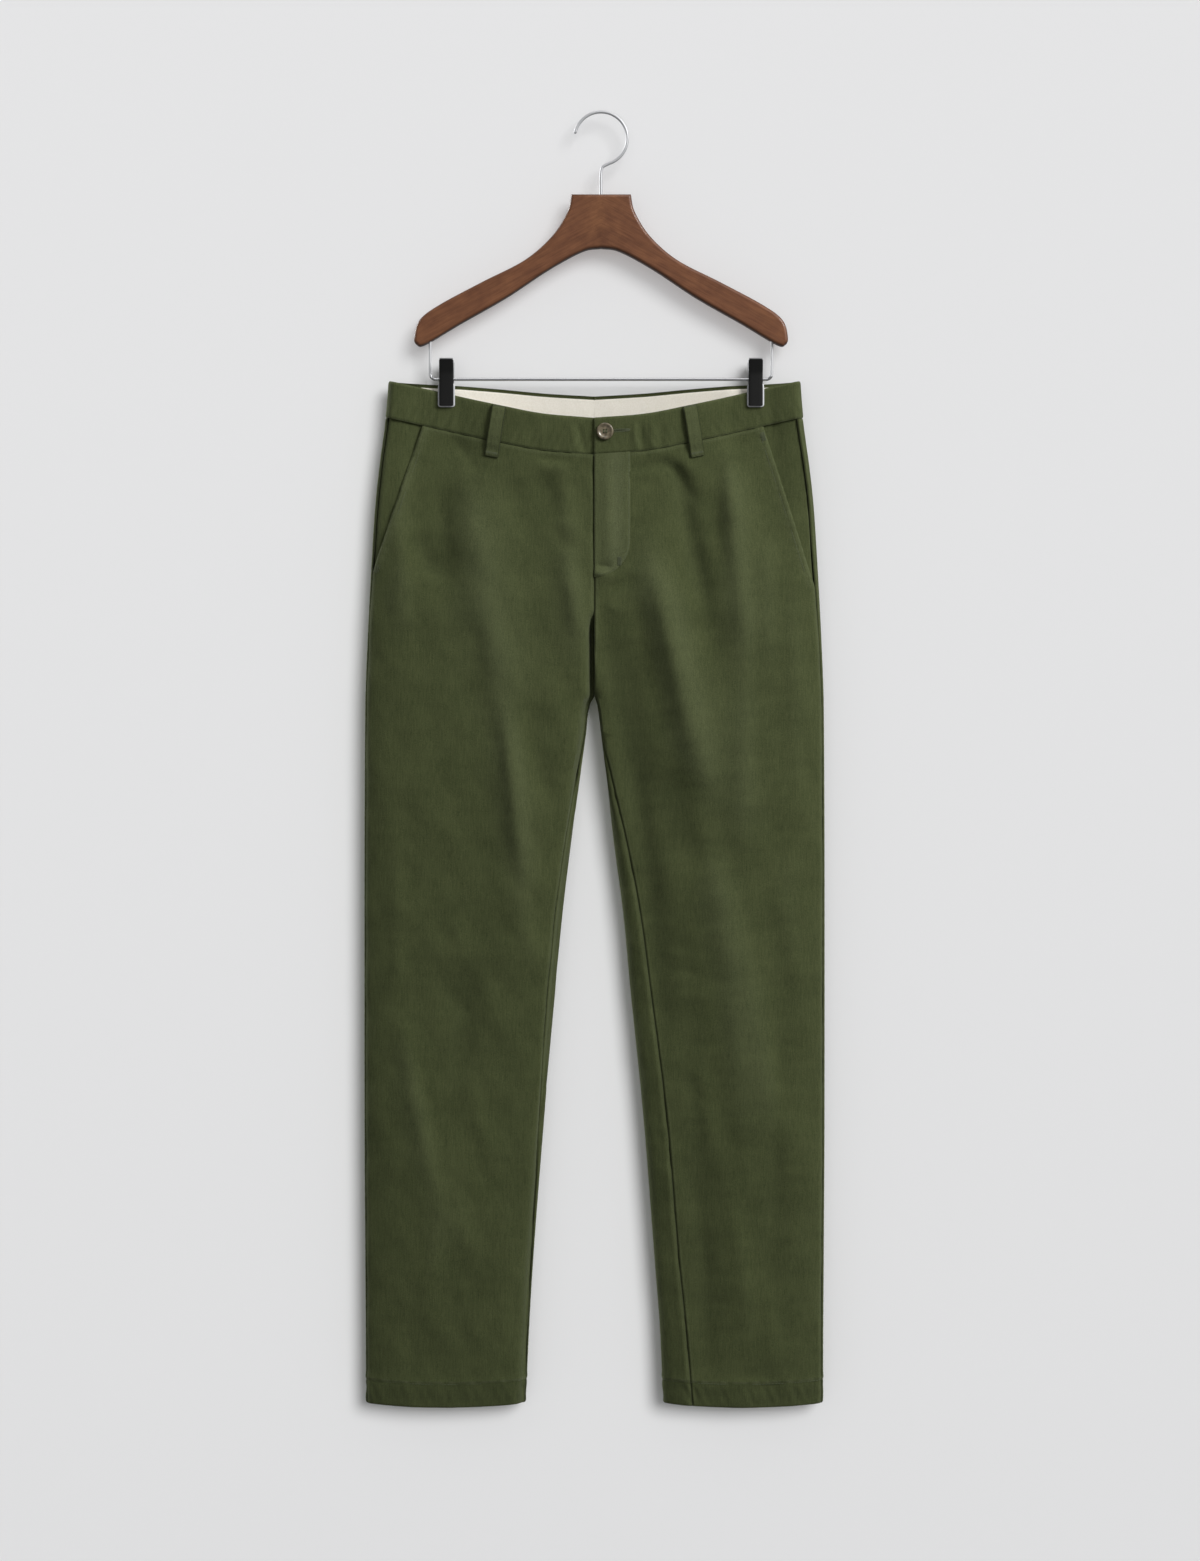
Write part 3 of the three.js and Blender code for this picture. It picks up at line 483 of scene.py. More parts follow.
def jaw_width(z):
    corner = np.clip((z - CLIP_BOTTOM_Z) / JAW_CORNER, 0, 1)
    wide = JAW_WIDE / 2 - JAW_CORNER_CUT * (1 - np.sqrt(1 - (1 - corner) ** 2))
    waist = np.clip((z - JAW_WAIST_Z) / JAW_CORNER, 0, 1)
    return wide + (JAW_NARROW / 2 - JAW_WIDE / 2) * waist


def pad_width(z):
    ends = np.minimum(z - CLIP_BOTTOM_Z - PAD_MARGIN, CLIP_TOP_Z - PAD_MARGIN - z)
    corner = np.clip(ends / PAD_CORNER, 0, 1)
    return PAD_WIDE / 2 - PAD_CORNER_CUT * (1 - np.sqrt(1 - (1 - corner) ** 2))


for side, sign in (("right", -1), ("left", 1)):
    angle = np.linspace(0, 2 * np.pi, HUB_SIDES)
    hub_outer = []
    for x, edge in ((-1, HUB_EDGE), (-0.9, 0), (0.9, 0), (1, HUB_EDGE)):
        radius = np.full(HUB_SIDES, HUB_RADIUS - edge)
        place = 0 * radius + sign * CLIP_X + x * HUB_LONG / 2
        hub_outer.append(np.stack([place, radius * np.cos(angle), BAR_Z + radius * np.sin(angle)], 1))
    hub_outer = np.array(hub_outer)
    hub_centre = np.array((sign * CLIP_X, 0, BAR_Z))
    slim = np.array((1, HUB_BORE / HUB_RADIUS, HUB_BORE / HUB_RADIUS))
    hub_inner = hub_centre + (hub_outer - hub_centre) * slim
    hub = mesh_object(f"clip_roller_{side}", *shell(hub_outer, hub_inner), chrome_material)
    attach(hub, "root")
    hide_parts(f"clip_hub_{side}")
    for face, way in (("front", -1), ("back", 1)):
        name, ends = f"clip_spring_{face}_{side}", (CLIP_TOP_Z, CLIP_BOTTOM_Z)
        jaw = bent_plate(name, JAW_INSIDE, JAW_THICK, jaw_width, *ends, chrome_material)
        name, ends = f"clip_pad_{face}_{side}", (CLIP_TOP_Z - PAD_MARGIN, CLIP_BOTTOM_Z + PAD_MARGIN)
        rest = JAW_INSIDE + JAW_THICK + PAD_GAP
        pad = bent_plate(name, rest, PAD_THICK, pad_width, *ends, rubber_material)
        for piece, node, finish in ((jaw, "jaw", "wire"), (pad, "grip", "grip")):
            for vertex in piece.data.vertices:
                x, y, z = vertex.co
                vertex.co = (sign * CLIP_X * MM - way * x, way * y, z)
            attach(piece, "root")
            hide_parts(f"clip_{node}_{face}_{side}")

# The leg fronts: two panels of olive cotton twill, seamed at the centre front, cut away at slant pockets.
# Each hangs as in the photo, from sections down the leg, with its folds and creases laid on one by one.
WAIST_Z = -276
CENTRE_X = -6.7
CLOTH = 1.4
SEAM_GAP = 0.02
BAND_GAP = 0.1
BAND_DEPTH = 37.5
CROTCH_DROP = 322
NOTCH_DROP = 242
YOKE_DROP = 200
FLY_END = 200
HEM_DROP = 1051
HEM_SAG = 4
HEM_TURN = 24
HEM_CLOTH = 2.6
SEAM_RIDGE = 0.22
SEAM_PUCKER = 0.16
WAIST_PUCKER = 0.34
HEM_RIDGE = 0.5
HEM_GROOVE = 0.45
HEM_ROPE = 0.45
ROPE_PITCH = 9.5
DRAPE = 0.0036
OUTER_ROUND = 2.9
INNER_ROUND = 3.3
FORK_ROUND = 5
FORK_DROP = 350
FORK_REACH = 70
CLEFT_WIDTH = 8
CLEFT_DEPTH = 0.75
SIDE_ROUND = 0.035
PINCH_END = 250
RIGHT = {"sign": -1, "mouth": 174, "end": 199}
LEFT = {"sign": 1, "mouth": 171, "end": 214}
LEGS = {"right": RIGHT, "left": LEFT}
for side, leg in LEGS.items():
    leg.update(gap=f"gap_{side}", inseam=f"inseam_{side}", side=f"side_{side}")


def table(names, rows):
    return dict(zip(names.split(), np.array(rows, float).T))


# From the waist down: the outer edge, half the gap between the legs, how deep the cloth stands in front of
# and behind its middle plane, and how far round on to the front each seam sits.
COLUMNS = "drop out gap_right gap_left front back inseam_right inseam_left side_right side_left"
SECTIONS = table(COLUMNS, [
    (0, 211.5, 0, 0, 14, 17, 0, 0, 1, 7),
    (38, 214.8, 0, 0, 14.5, 18.5, 0, 0, 1, 7),
    (81, 220.6, 0, 0, 15, 20.5, 0, 0, 1, 6),
    (125, 225.4, 0, 0, 15.5, 22, 0, 0, 1, 5),
    (185, 229.3, 0, 0, 16, 23, 0, 0, 1, 4.5),
    (260, 233.2, 0, 0, 16.5, 22.5, 0, 0, 1, 2.5),
    (322, 235.7, 0, 0, 17, 20, 0, 0, 1, 1.5),
    (332, 235.9, 4.6, 2.8, 17, 19.6, 0, 0, 1, 1.5),
    (365, 236.2, 9.4, 7.4, 17, 18.8, 1, 0, 1, 1.5),
    (401, 236.4, 14.4, 11.8, 17, 18, 3, 4, 1, 1.5),
    (473, 236.7, 23.8, 19.6, 16, 17, 6, 13, 1, 1.5),
    (545, 236.8, 32.6, 29.2, 15.4, 16.2, 7, 17.5, 1, 1.5),
    (617, 236.8, 39.4, 36, 15, 15.6, 7.5, 20.5, 1, 1.5),
    (761, 236.7, 52.4, 50.6, 14, 14.6, 4.5, 24, 1, 1.5),
    (905, 235.9, 63.6, 61.9, 13.2, 13.8, 1.5, 25, 1, 1.5),
    (977, 235.4, 67.8, 67.4, 12.6, 13.2, 0.8, 27, 1, 1.5),
    (1051, 235.2, 71, 70.6, 12.2, 12.8, 0.5, 30, 1, 1.5),
])

# The waist from the centre out. The clips pinch it between 0.67 and 0.83 of the half width.
WAIST = table("across front back front_top back_top", [
    (0, 13, 17, 38.5, 14),
    (0.25, 12, 15, 34, 11),
    (0.45, 9, 10.6, 25.5, 7.5),
    (0.6, 5.6, 6, 18.5, 5.4),
    (0.67, 3.6, 3.6, 15, 4.6),
    (0.83, 3.6, 3.6, 7.5, 3),
    (0.91, 6.6, 6.6, 4, 1.6),
    (1, 7.4, 7.4, 0, 0),
])

# Folds and creases: where each starts and ends across and down, how wide it is and how far it stands out.
FRONT_FOLDS = table("x0 drop0 x1 drop1 reach height", [
    # The large folds of the thighs and shins.
    (46, 170, 112, 430, 19, 10.6),
    (75, 72, 104, 226, 12, -5.5),
    (129, 80, 151, 300, 16, 7.5),
    (151, 290, 144, 480, 19, 5),
    (2, 240, 46, 492, 14, -5),
    (46, 480, 66, 680, 17, -5),
    (-138, 100, -97, 350, 25, 7),
    (-98, 340, -78, 530, 14, 8),
    (-42, 92, -24, 290, 14, 5),
    (-203, 92, -210, 267, 10, 3),
    (32, 215, 58, 360, 14, -2),
    (112, 118, 127, 192, 12, -2.2),
    (66, 390, 96, 510, 26, -4),
    (-192, 160, -172, 200, 13, -3),
    (-60, 96, -40, 150, 17, -3.6),
    (-165, 100, -159, 226, 14, -4),
    (-206, 670, -142, 900, 28, 5),
    (-130, 560, -150, 760, 18, -3),
    (108, 500, 196, 820, 24, 6),
    (186, 620, 178, 900, 14, -3),
    (90, 640, 110, 1000, 16, -3),
    # Drags from the buttoned waist and the fly's lower end.
    (28, 93, 62, 84, 4.5, -1.9),
    (60, 83, 80, 93, 5, -2.5),
    (74, 88, 98, 126, 7, -2.9),
    (64, 70, 100, 98, 7, 1.9),
    (28, 101, 54, 106, 4, -1.1),
    (6, 88, 8, 188, 8, 1.7),
    (-6, 190, 12, 192, 4.5, -1.9),
    (-6, 200, 14, 201, 4, 1.9),
    (8, 214, 34, 201, 5, -1.5),
    (4, 224, 20, 242, 6, 1.3),
    (-66, 80, -30, 83, 4, -1.7),
    (-62, 90, -34, 92, 5, 1.1),
    (-152, 58, -126, 94, 6, -1.7),
    (-46, 150, -32, 178, 9, -2.5),
    # The wearer's left leg.
    (24, 262, 50, 500, 14, -3.2),
    (62, 215, 92, 400, 9, 1.9),
    (96, 150, 112, 290, 12, -2.3),
    (132, 88, 136, 152, 8, 2.1),
    (119, 84, 122, 142, 8, -1.9),
    (170, 160, 172, 300, 9, 2.5),
    (158, 240, 160, 420, 11, -1.7),
    (196, 190, 202, 420, 9, 1.9),
    (96, 430, 130, 560, 18, 2.9),
    (190, 480, 197, 610, 15, 2.3),
    (60, 600, 103, 611, 5, -0.8),
    (62, 587, 98, 592, 5, 0.6),
    (82, 560, 92, 618, 9, -1),
    (76, 714, 108, 742, 6, -0.6),
    (80, 700, 118, 726, 6, 0.7),
    (128, 620, 150, 790, 15, 2.7),
    (100, 690, 112, 800, 15, 1.9),
    (138, 850, 152, 1000, 14, 2.5),
    (104, 880, 112, 1010, 12, -1.5),
    (172, 930, 176, 1020, 10, 1.3),
    # The wearer's right leg.
    (-186, 150, -170, 204, 9, -2.1),
    (-202, 190, -197, 262, 7, 1.9),
    (-30, 190, -24, 262, 9, 1.9),
    (-130, 246, -122, 336, 12, -1.9),
    (-101, 330, -84, 480, 9, 1.9),
    (-78, 322, -58, 424, 13, -2.1),
    (-88, 516, -70, 610, 14, 2.3),
    (-152, 548, -134, 606, 12, 2.3),
    (-174, 592, -138, 654, 12, -2.1),
    (-192, 670, -150, 868, 14, -2.9),
    (-206, 650, -174, 832, 12, 1.9),
    (-136, 700, -118, 800, 12, 1.5),
    (-164, 846, -178, 936, 12, 2.3),
    (-212, 470, -208, 640, 8, 1.7),
    (-104, 900, -96, 1010, 12, 1.7),
    (-200, 960, -188, 1022, 9, -1.3),
    # Buckles in the waistband beside the button.
    (34, 42, 35, 74, 3.4, 1.5),
    (41, 44, 43, 76, 3.2, -1.5),
    (52, 42, 53, 72, 4, 1.3),
    (62, 44, 62, 74, 4, -1.1),
    (-24, 44, -16, 76, 2.8, -1.7),
    (-31, 44, -25, 76, 4, 1.1),
    (-62, 40, -60, 70, 5, 0.6),
])
BACK_FOLDS = table("x0 drop0 x1 drop1 reach height", [
    # The seat's hollows and what falls from them.
    (-40, 250, -150, 330, 16, -9.9),
    (36, 262, 148, 318, 15, -8.3),
    (-60, 304, -160, 392, 16, 5.4),
    (58, 306, 150, 384, 18, 5.4),
    (-130, 420, -118, 700, 20, -7.6),
    (122, 440, 136, 720, 22, -6.8),
    (-96, 90, -120, 200, 14, 3.2),
    (92, 96, 126, 190, 14, 3),
    (-160, 720, -140, 940, 24, 5.2),
    (168, 700, 148, 960, 22, -5.2),
    # Smaller creases under the seat and behind the knees.
    (-24, 236, -78, 262, 7, -2.4),
    (22, 240, 70, 258, 6, -2.1),
    (-30, 276, -104, 318, 8, 2.1),
    (28, 282, 96, 312, 9, 2.4),
    (-88, 352, -150, 420, 9, -2.4),
    (96, 348, 158, 402, 10, -2.1),
    (-64, 400, -84, 520, 13, 2.9),
    (60, 396, 78, 540, 12, 3.1),
    (-92, 560, -150, 580, 7, -2.4),
    (-84, 578, -160, 604, 6, 2.1),
    (-96, 610, -142, 616, 5, -1.6),
    (88, 548, 156, 574, 7, -2.6),
    (84, 570, 148, 598, 6, 1.9),
    (100, 606, 152, 610, 5, -1.6),
    (-188, 300, -194, 520, 12, 2.6),
    (190, 320, 196, 500, 12, 2.4),
    (-100, 700, -112, 880, 14, 3.1),
    (104, 720, 110, 900, 15, 2.9),
    (-128, 880, -120, 1010, 12, -2.1),
    (130, 900, 126, 1015, 12, -2.1),
    (-150, 84, -172, 150, 9, -2.1),
    (152, 80, 170, 140, 9, -2.4),
    (-30, 84, -40, 190, 13, 2.4),
    (34, 90, 38, 170, 12, 2.1),
    (-66, 50, -64, 78, 6, 1),
    (72, 46, 70, 76, 6, -1),
])


def follow(rows, key, column, value):
    """A smooth curve through one column of a table, flat beyond its ends."""
    at, read = rows[key], rows[column]
    span = np.diff(at)
    slope = np.diff(read) / span
    low = np.minimum(np.abs(slope[:-1]), np.abs(slope[1:])) * 3
    middle = np.minimum(np.abs(slope[:-1] + slope[1:]) / 2, low)
    inner = np.where(slope[:-1] * slope[1:] > 0, np.sign(slope[:-1]) * middle, 0)
    lean = np.concatenate([slope[:1], inner, slope[-1:]])
    value = np.clip(value, at[0], at[-1])
    i = np.clip(np.searchsorted(at, value, "right") - 1, 0, len(span) - 1)
    t = (value - at[i]) / span[i]
    swing = span[i] * t * (1 - t) * ((1 - t) * lean[i] - t * lean[i + 1])
    return read[i] + (read[i + 1] - read[i]) * t * t * (3 - 2 * t) + swing


def section(column, drop):
    return follow(SECTIONS, "drop", column, drop)


def ease(low, high, value):
    """From 0 to 1 between two values, without a corner."""
    t = np.clip((value - low) / (high - low), 0, 1)
    return t * t * (3 - 2 * t)


def bell(value, middle, reach):
    """1 in the middle and nearly 0 beyond twice the reach."""
    return np.exp(-(((value - middle) / reach) ** 2))


def rounding(share, power):
    """A quarter of a superellipse: 0 at the edge of the cloth, 1 where it runs flat."""
    return (1 - (1 - np.clip(share, 0, 1)) ** power) ** (1 / power)


def relief(folds, x, drop):
    """How far a table's folds lift the cloth."""
    height = np.zeros(np.shape(x))
    for x0, drop0, x1, drop1, reach, rise in zip(*folds.values()):
        long = math.hypot(x1 - x0, drop1 - drop0)
        along = ((x - x0) * (x1 - x0) + (drop - drop0) * (drop1 - drop0)) / long
        off = ((x - x0) * (drop1 - drop0) - (drop - drop0) * (x1 - x0)) / long
        fade = ease(-0.15 * long, 0.3 * long, along) * ease(-0.15 * long, 0.3 * long, long - along)
        height += rise * fade * np.exp(-1.5 * (np.hypot(off / reach, 0.5) - 0.5))
    return height


def reaches(leg, drop):
    """How far the outer edge and the inner one lie from the centre plane."""
    out = section("out", drop)
    return out, np.maximum(section(leg["gap"], drop), SEAM_GAP / 2)


def surface(leg, turn, drop):
    """The cloth's outside. Turn is 0 and 2 at the inner ends of front and back, 1 at the outer edge."""
    turn = np.where(turn > 2, turn - 2, turn)
    front = turn < 1
    share = (1 + np.cos(np.pi * turn)) / 2
    out, gap = reaches(leg, drop)
    lateral = out + (gap - out) * share
    x = CENTRE_X + leg["sign"] * lateral
    # The cloth stays full at the centre seam, then turns in more and more down to the crotch.
    notch = np.clip((drop - NOTCH_DROP) / (CROTCH_DROP - NOTCH_DROP), 0, 1)
    whole = np.sqrt(1 - notch**2)
    inner = rounding(2 - 2 * share, INNER_ROUND + FORK_ROUND * bell(drop, FORK_DROP, FORK_REACH))
    edges = rounding(share * 2, OUTER_ROUND) * (inner + (1 - inner) * whole)
    if leg["sign"] < 0:
        # Under the fly the wearer's right front falls in beside the seam.
        cleft = 1 - ease(CLEFT_WIDTH / 3, CLEFT_WIDTH, lateral - gap)
        cleft = CLEFT_DEPTH * cleft * ease(NOTCH_DROP - 8, NOTCH_DROP + 18, drop)
        edges = edges * np.where(front, 1 - cleft, 1)
    across = lateral / out
    fronts = (section("front", drop), follow(WAIST, "across", "front", across))
    backs = (section("back", drop), follow(WAIST, "across", "back", across))
    full, waist = (np.where(front, a, b) for a, b in zip(fronts, backs))
    raised = np.where(front, relief(FRONT_FOLDS, x, drop), relief(BACK_FOLDS, x, drop)) * edges
    waist = waist * rounding(share / SIDE_ROUND, 2)
    depth = waist + (full * edges - waist) * ease(BAND_DEPTH, PINCH_END, drop) + raised
    return np.stack([x, np.where(front, -depth, depth), WAIST_Z - drop], -1)


def spots(leg, turn, drop):
    """Points of the cloth's outside and the way out from them."""
    step, rise = 0.004, 1.2
    closed = drop >= CROTCH_DROP
    before = np.where(closed, np.mod(turn - step, 2), np.clip(turn - step, 0, 2))
    after = np.where(closed, np.mod(turn + step, 2), np.clip(turn + step, 0, 2))
    across = surface(leg, after, drop) - surface(leg, before, drop)
    down = surface(leg, turn, drop + rise) - surface(leg, turn, drop - rise)
    normal = np.cross(down, across) * leg["sign"]
    return surface(leg, turn, drop), normal / np.linalg.norm(normal, axis=-1, keepdims=True)


def band_top(leg, turn, drop):
    """The drop of the waistband's top edge."""
    share = (1 + np.cos(np.pi * turn)) / 2
    out, gap = reaches(leg, drop)
    across = 1 + (gap / out - 1) * share
    front, back = (follow(WAIST, "across", key, across) for key in ("front_top", "back_top"))
    return np.where(turn < 1, front, back)


def waist_seam(leg, turn, drop):
    return band_top(leg, turn, drop) + BAND_DEPTH + BAND_GAP


def front_turn(leg, drop, lateral):
    """The turn on the front at a distance from the centre plane."""
    out, gap = reaches(leg, drop)
    return np.arccos(2 * np.clip((out - lateral) / (out - gap), 0, 1) - 1) / np.pi


def side_seam(leg, drop):
    return section("out", drop) - section(leg["side"], drop)


def pocket_mouth(leg, drop):
    """How far out the front panel reaches: to the slanting mouth, then to the side seam."""
    share = np.clip((drop - BAND_DEPTH) / (leg["end"] - BAND_DEPTH), 0, 1)
    mouth = leg["mouth"] + (side_seam(leg, leg["end"]) - leg["mouth"]) * share
    return np.where(drop < leg["end"], np.minimum(mouth, side_seam(leg, drop)), side_seam(leg, drop))


def mouth_turn(leg, drop, behind=0):
    return front_turn(leg, drop, pocket_mouth(leg, drop) - behind)


def side_turn(leg, drop):
    return front_turn(leg, drop, side_seam(leg, drop))


def inseam(leg, drop):
    gap = section(leg["gap"], drop)
    lateral = gap + section(leg["inseam"], drop)
    return np.where(drop < CROTCH_DROP, 0, front_turn(leg, drop, lateral))


def hem_edge(turn):
    return HEM_DROP + HEM_SAG * np.sin(np.pi * turn) ** 2


# Rows of a panel: from the sloping waist seam to the level yoke line, down the leg, and to the sagging hem.
HEM_START = 950
PANEL_ROWS = np.concatenate([
    np.array((0, 0.4, 0.9, 1.7, 2.8, 4.2)) / 150,
    np.linspace(0.04, 1, 36),
    1 + np.arange(1, 236) / 235,
    2 + np.arange(1, 24) / 32,
    2 + np.linspace(0.735, 0.985, 22),
    [2.992, 3],
])


def leg_drop(leg, row, turn, drop):
    """The drop of a panel's row, 0 at the waist seam and 3 at the hem."""
    seam = waist_seam(leg, turn, drop)
    upper = seam + (YOKE_DROP - seam) * np.clip(row, 0, 1)
    level = (HEM_START - YOKE_DROP) * np.clip(row - 1, 0, 1)
    return upper + level + (hem_edge(turn) - HEM_START) * np.clip(row - 2, 0, 1)


# Half the gap at an edge above the crotch and below it.
NO_GAP = (0, 0)
INNER_GAP = (0, SEAM_GAP / 2)
OUTER_GAP = (SEAM_GAP / 2, SEAM_GAP / 2)
SETTLINGS = 7
FINE_COLUMNS = 420
EDGE_STEPS = np.array((0, 0.35, 0.8, 1.4, 2.2, 3.2, 4.4, 5.8, 7.2))


def laid(leg, start, end, rows, drop_at, columns, start_gap=NO_GAP, end_gap=NO_GAP):
    """A grid from edge to edge, its columns closer by both edges, with its distance from each edge."""
    rows = np.asarray(rows, float)[:, None]
    share = np.linspace(0, 1, FINE_COLUMNS)[None, :]
    drop = np.full((len(rows), share.size), float(YOKE_DROP))
    for settling in range(SETTLINGS):
        first, last = (edge(leg, drop) if callable(edge) else edge for edge in (start, end))
        turn = first + (last - first) * share + 0 * drop
        drop = drop_at(leg, rows, turn, drop)
    points = surface(leg, turn, drop)
    steps = np.linalg.norm(np.diff(points, axis=1), axis=2)
    run = np.concatenate([np.zeros((len(rows), 1)), np.cumsum(steps, 1)], 1)
    grid = []
    for line, line_turn, line_drop in zip(run, turn, drop):
        low, high = (gap[int(line_drop[0] >= CROTCH_DROP)] for gap in (start_gap, end_gap))
        whole = line[-1] - low - high
        near = EDGE_STEPS * min(1, whole / (3 * EDGE_STEPS[-1]))
        middle = np.linspace(near[-1], whole - near[-1], columns)[1:-1]
        at = low + np.concatenate([near, middle, whole - near[::-1]])
        grid.append((np.interp(at, line, line_turn), np.interp(at, line, line_drop), at, line[-1] - at))
    return [np.array(part) for part in zip(*grid)]


def uneven(along, pitch, seed):
    """A ripple of about one height and pitch that never repeats exactly."""
    first = np.sin(2 * np.pi * along / pitch + seed + 0.9 * np.sin(along / (2.3 * pitch) + 2 * seed))
    return 0.6 * first + 0.4 * np.sin(2 * np.pi * along / (1.57 * pitch) + 3.1 * seed)


def cloth_object(name, points, normals, out, thick, wear, material):
    """A wall of cloth on a grid of spots, moved out by its relief, with its wear and its painted light and
    shade kept on its points.
    """
    outer = points + normals * out[..., None]
    inner = points + normals * (out - thick)[..., None]
    made = mesh_object(name, *shell(outer, inner), material)
    wear_and_light_attribute = made.data.attributes.new("wear", "FLOAT", "POINT")
    wear_and_light_attribute.data.foreach_set("value", np.tile(np.clip(wear, -1, 1).ravel(), 2))
    return made


twill = Finish("olive_twill")
x, y, z = twill.parts(twill.place())
rib = twill.maths("SINE", x * 7200 - z * 4200 + y * 3000)
fleck = twill.noise(1150, 3)
cloud = twill.noise(38, 4)
slub = twill.noise(1, 3, twill.stretched(820, 820, 70))
tone = fleck + cloud * 0.38 + slub * 0.6 - 0.49
dyed = twill.blend(tone, tint(44, 52, 25), tint(86, 92, 58))
# The points' attribute makes the cloth paler where it is worn and where a highlight is painted, and darker
# where shade is painted.
wear_and_light_attribute = twill.node("ShaderNodeAttribute", {"attribute_name": "wear"}, out=2)
rubbed_and_highlighted = twill.blend(wear_and_light_attribute * (fleck + 0.1) * 0.5, dyed, tint(120, 126, 96))
twill_material = twill.skin({
    "Base Color": twill.blend(wear_and_light_attribute * -0.8, rubbed_and_highlighted, tint(22, 27, 12)),
    "Roughness": fleck * 0.12 + 0.84,
    "Specular IOR Level": 0.14,
    "Sheen Weight": 0.06,
    "Sheen Roughness": 0.5,
    "Normal": twill.bump(rib * 0.35 + fleck * 0.9 + slub * 0.5, 0.0004, 0.7),
})


def tuck(distance, depth=0.9, reach=1.6):
    """The cloth turning in at a seam."""
    return -depth * (1 - ease(0, reach, distance))


def drape(x, z, seed):
    """The cloth's soft unevenness."""
    draw = np.random.default_rng(seed)
    height = np.zeros(np.shape(x))
    for wave in np.geomspace(12, 80, 16):
        angle, phase = draw.normal(0, 0.85), draw.uniform(0, 2 * np.pi)
        height += DRAPE * wave * np.sin(2 * np.pi * (x * np.cos(angle) + z * np.sin(angle)) / wave + phase)
    return height


def leg_relief(leg, folds, turn, drop, points, normals, seams, seed):
    """What sewing, pressing and wear do to a leg panel, where it is worn, and where light and shade are
    painted on it.
    """
    seam_in, seam_out = seams
    x, z = points[..., 0], points[..., 2]
    below = drop - waist_seam(leg, turn, drop)
    rim = hem_edge(turn) - drop
    out = tuck(seam_in) + tuck(seam_out) + tuck(below) + tuck(rim, 0.7, 1.8)
    out += SEAM_RIDGE * (bell(seam_in, 5, 3) + bell(seam_out, 5, 3))
    out += SEAM_PUCKER * uneven(drop, 10, seed) * (np.exp(-seam_in / 4.5) + np.exp(-seam_out / 4.5))
    out += WAIST_PUCKER * uneven(x, 13, seed + 1) * np.exp(-np.clip(below, 0, None) / 6)
    out += HEM_RIDGE * bell(rim, HEM_TURN + 3, 2.4) - HEM_GROOVE * bell(rim, HEM_TURN, 1)
    rope = uneven(x + 0.4 * rim, ROPE_PITCH, seed + 2) * ease(1, 6, rim) * (1 - ease(17, 23, rim))
    out += HEM_ROPE * rope
    out += drape(x, z, seed) * ease(0, 14, below) * normals[..., 1] ** 2
    # Beside each seam the cloth is paler with wear; in the seam itself it is painted dark, painted shade.
    seam = np.minimum(np.minimum(seam_in, seam_out), np.clip(below, 0, None))
    wear = 0.4 * bell(seam, 2.6, 1.3) - 0.9 * np.exp(-seam / 0.7)
    # The folds' ridges are painted paler and their hollows darker: painted highlight and painted shade, on
    # faces turned to the front and back.
    bulge = relief(folds, x, drop)
    painted_fold_light = np.clip(np.where(bulge > 0, 0.06, 0.04) * bulge, -0.25, 0.36)
    wear += painted_fold_light * normals[..., 1] ** 2
    # The turned-up hem is darker, and the cloth is painted darker towards the bottom of the leg: painted
    # shade where the light falls off.
    wear -= 0.1 * (1 - ease(HEM_TURN - 2, HEM_TURN, rim)) + 0.09 * ease(300, 800, drop)
    # A dotted line along the hem's ridge above its stitching is painted paler, a painted highlight; the
    # groove at the stitching is painted dark, painted shade.
    wear += 0.6 * (1 + uneven(x, 11, seed)) * bell(rim, HEM_TURN + 1.5, 1.6)
    wear -= 0.4 * bell(rim, HEM_TURN - 0.6, 0.8)
    # The roping's ridges are painted paler and its hollows darker, painted highlight and painted shade; the
    # hem's folded edge is paler.
    wear += 0.2 * rope + 0.6 * np.exp(-rim / 1.3)
    return out, wear


def butted(normals, drop, seam_in):
    """The way out of the cloth, upright where it meets the other leg's cloth at the centre seam."""
    shut = (1 - ease(0, 10, seam_in)) * (1 - ease(CROTCH_DROP - 16, CROTCH_DROP, drop))
    return normals * np.stack([1 - shut, 1 + 0 * shut, 1 + 0 * shut], -1)


def leg_cloth(drop, turn):
    """How thick the cloth is: doubled in the hem."""
    return np.where(hem_edge(turn) - drop < HEM_TURN, HEM_CLOTH, CLOTH)


for side, leg in LEGS.items():
    rows = (PANEL_ROWS, leg_drop, 40)
    turn, drop, seam_in, seam_out = laid(leg, inseam, mouth_turn, *rows, INNER_GAP, OUTER_GAP)
    points, normals = spots(leg, turn, drop)
    seams = (seam_in, seam_out)
    out, wear = leg_relief(leg, FRONT_FOLDS, turn, drop, points, normals, seams, 3 + leg["sign"])
    mouth = 1 - ease(leg["end"] - 6, leg["end"] + 4, drop)
    out += mouth * (0.4 * (1 - ease(6, 8.5, seam_out)) - 0.35 * bell(seam_out, 6, 0.9))
    out += mouth * 0.22 * uneven(drop, 12, 5) * bell(seam_out, 7, 5)
    rubbing = 1.1 * np.exp(-seam_out / 0.9) + 0.3 * bell(seam_out, 6, 1.6)
    wear += mouth * (1 + 0.7 * uneven(drop, 8, 3)) * rubbing
    # Beside the fly's edge the right front is painted dark: a painted shadow of the fly.
    if side == "right":
        wear -= 1.2 * np.exp(-seam_in / 1.2) * (1 - ease(FLY_END, FLY_END + 8, drop))
    normals = butted(normals, drop, seam_in)
    thick = leg_cloth(drop, turn)
    front = cloth_object(f"leg_front_{side}", points, normals, out, thick, wear, twill_material)
    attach(front, "root")
    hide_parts(f"front_{side}")

# The leg backs: two panels of the same twill, seamed to the fronts at the sides and the inseams.
# They are seamed to each other down the centre back.


def back_end(leg, drop):
    return 2 + inseam(leg, drop)


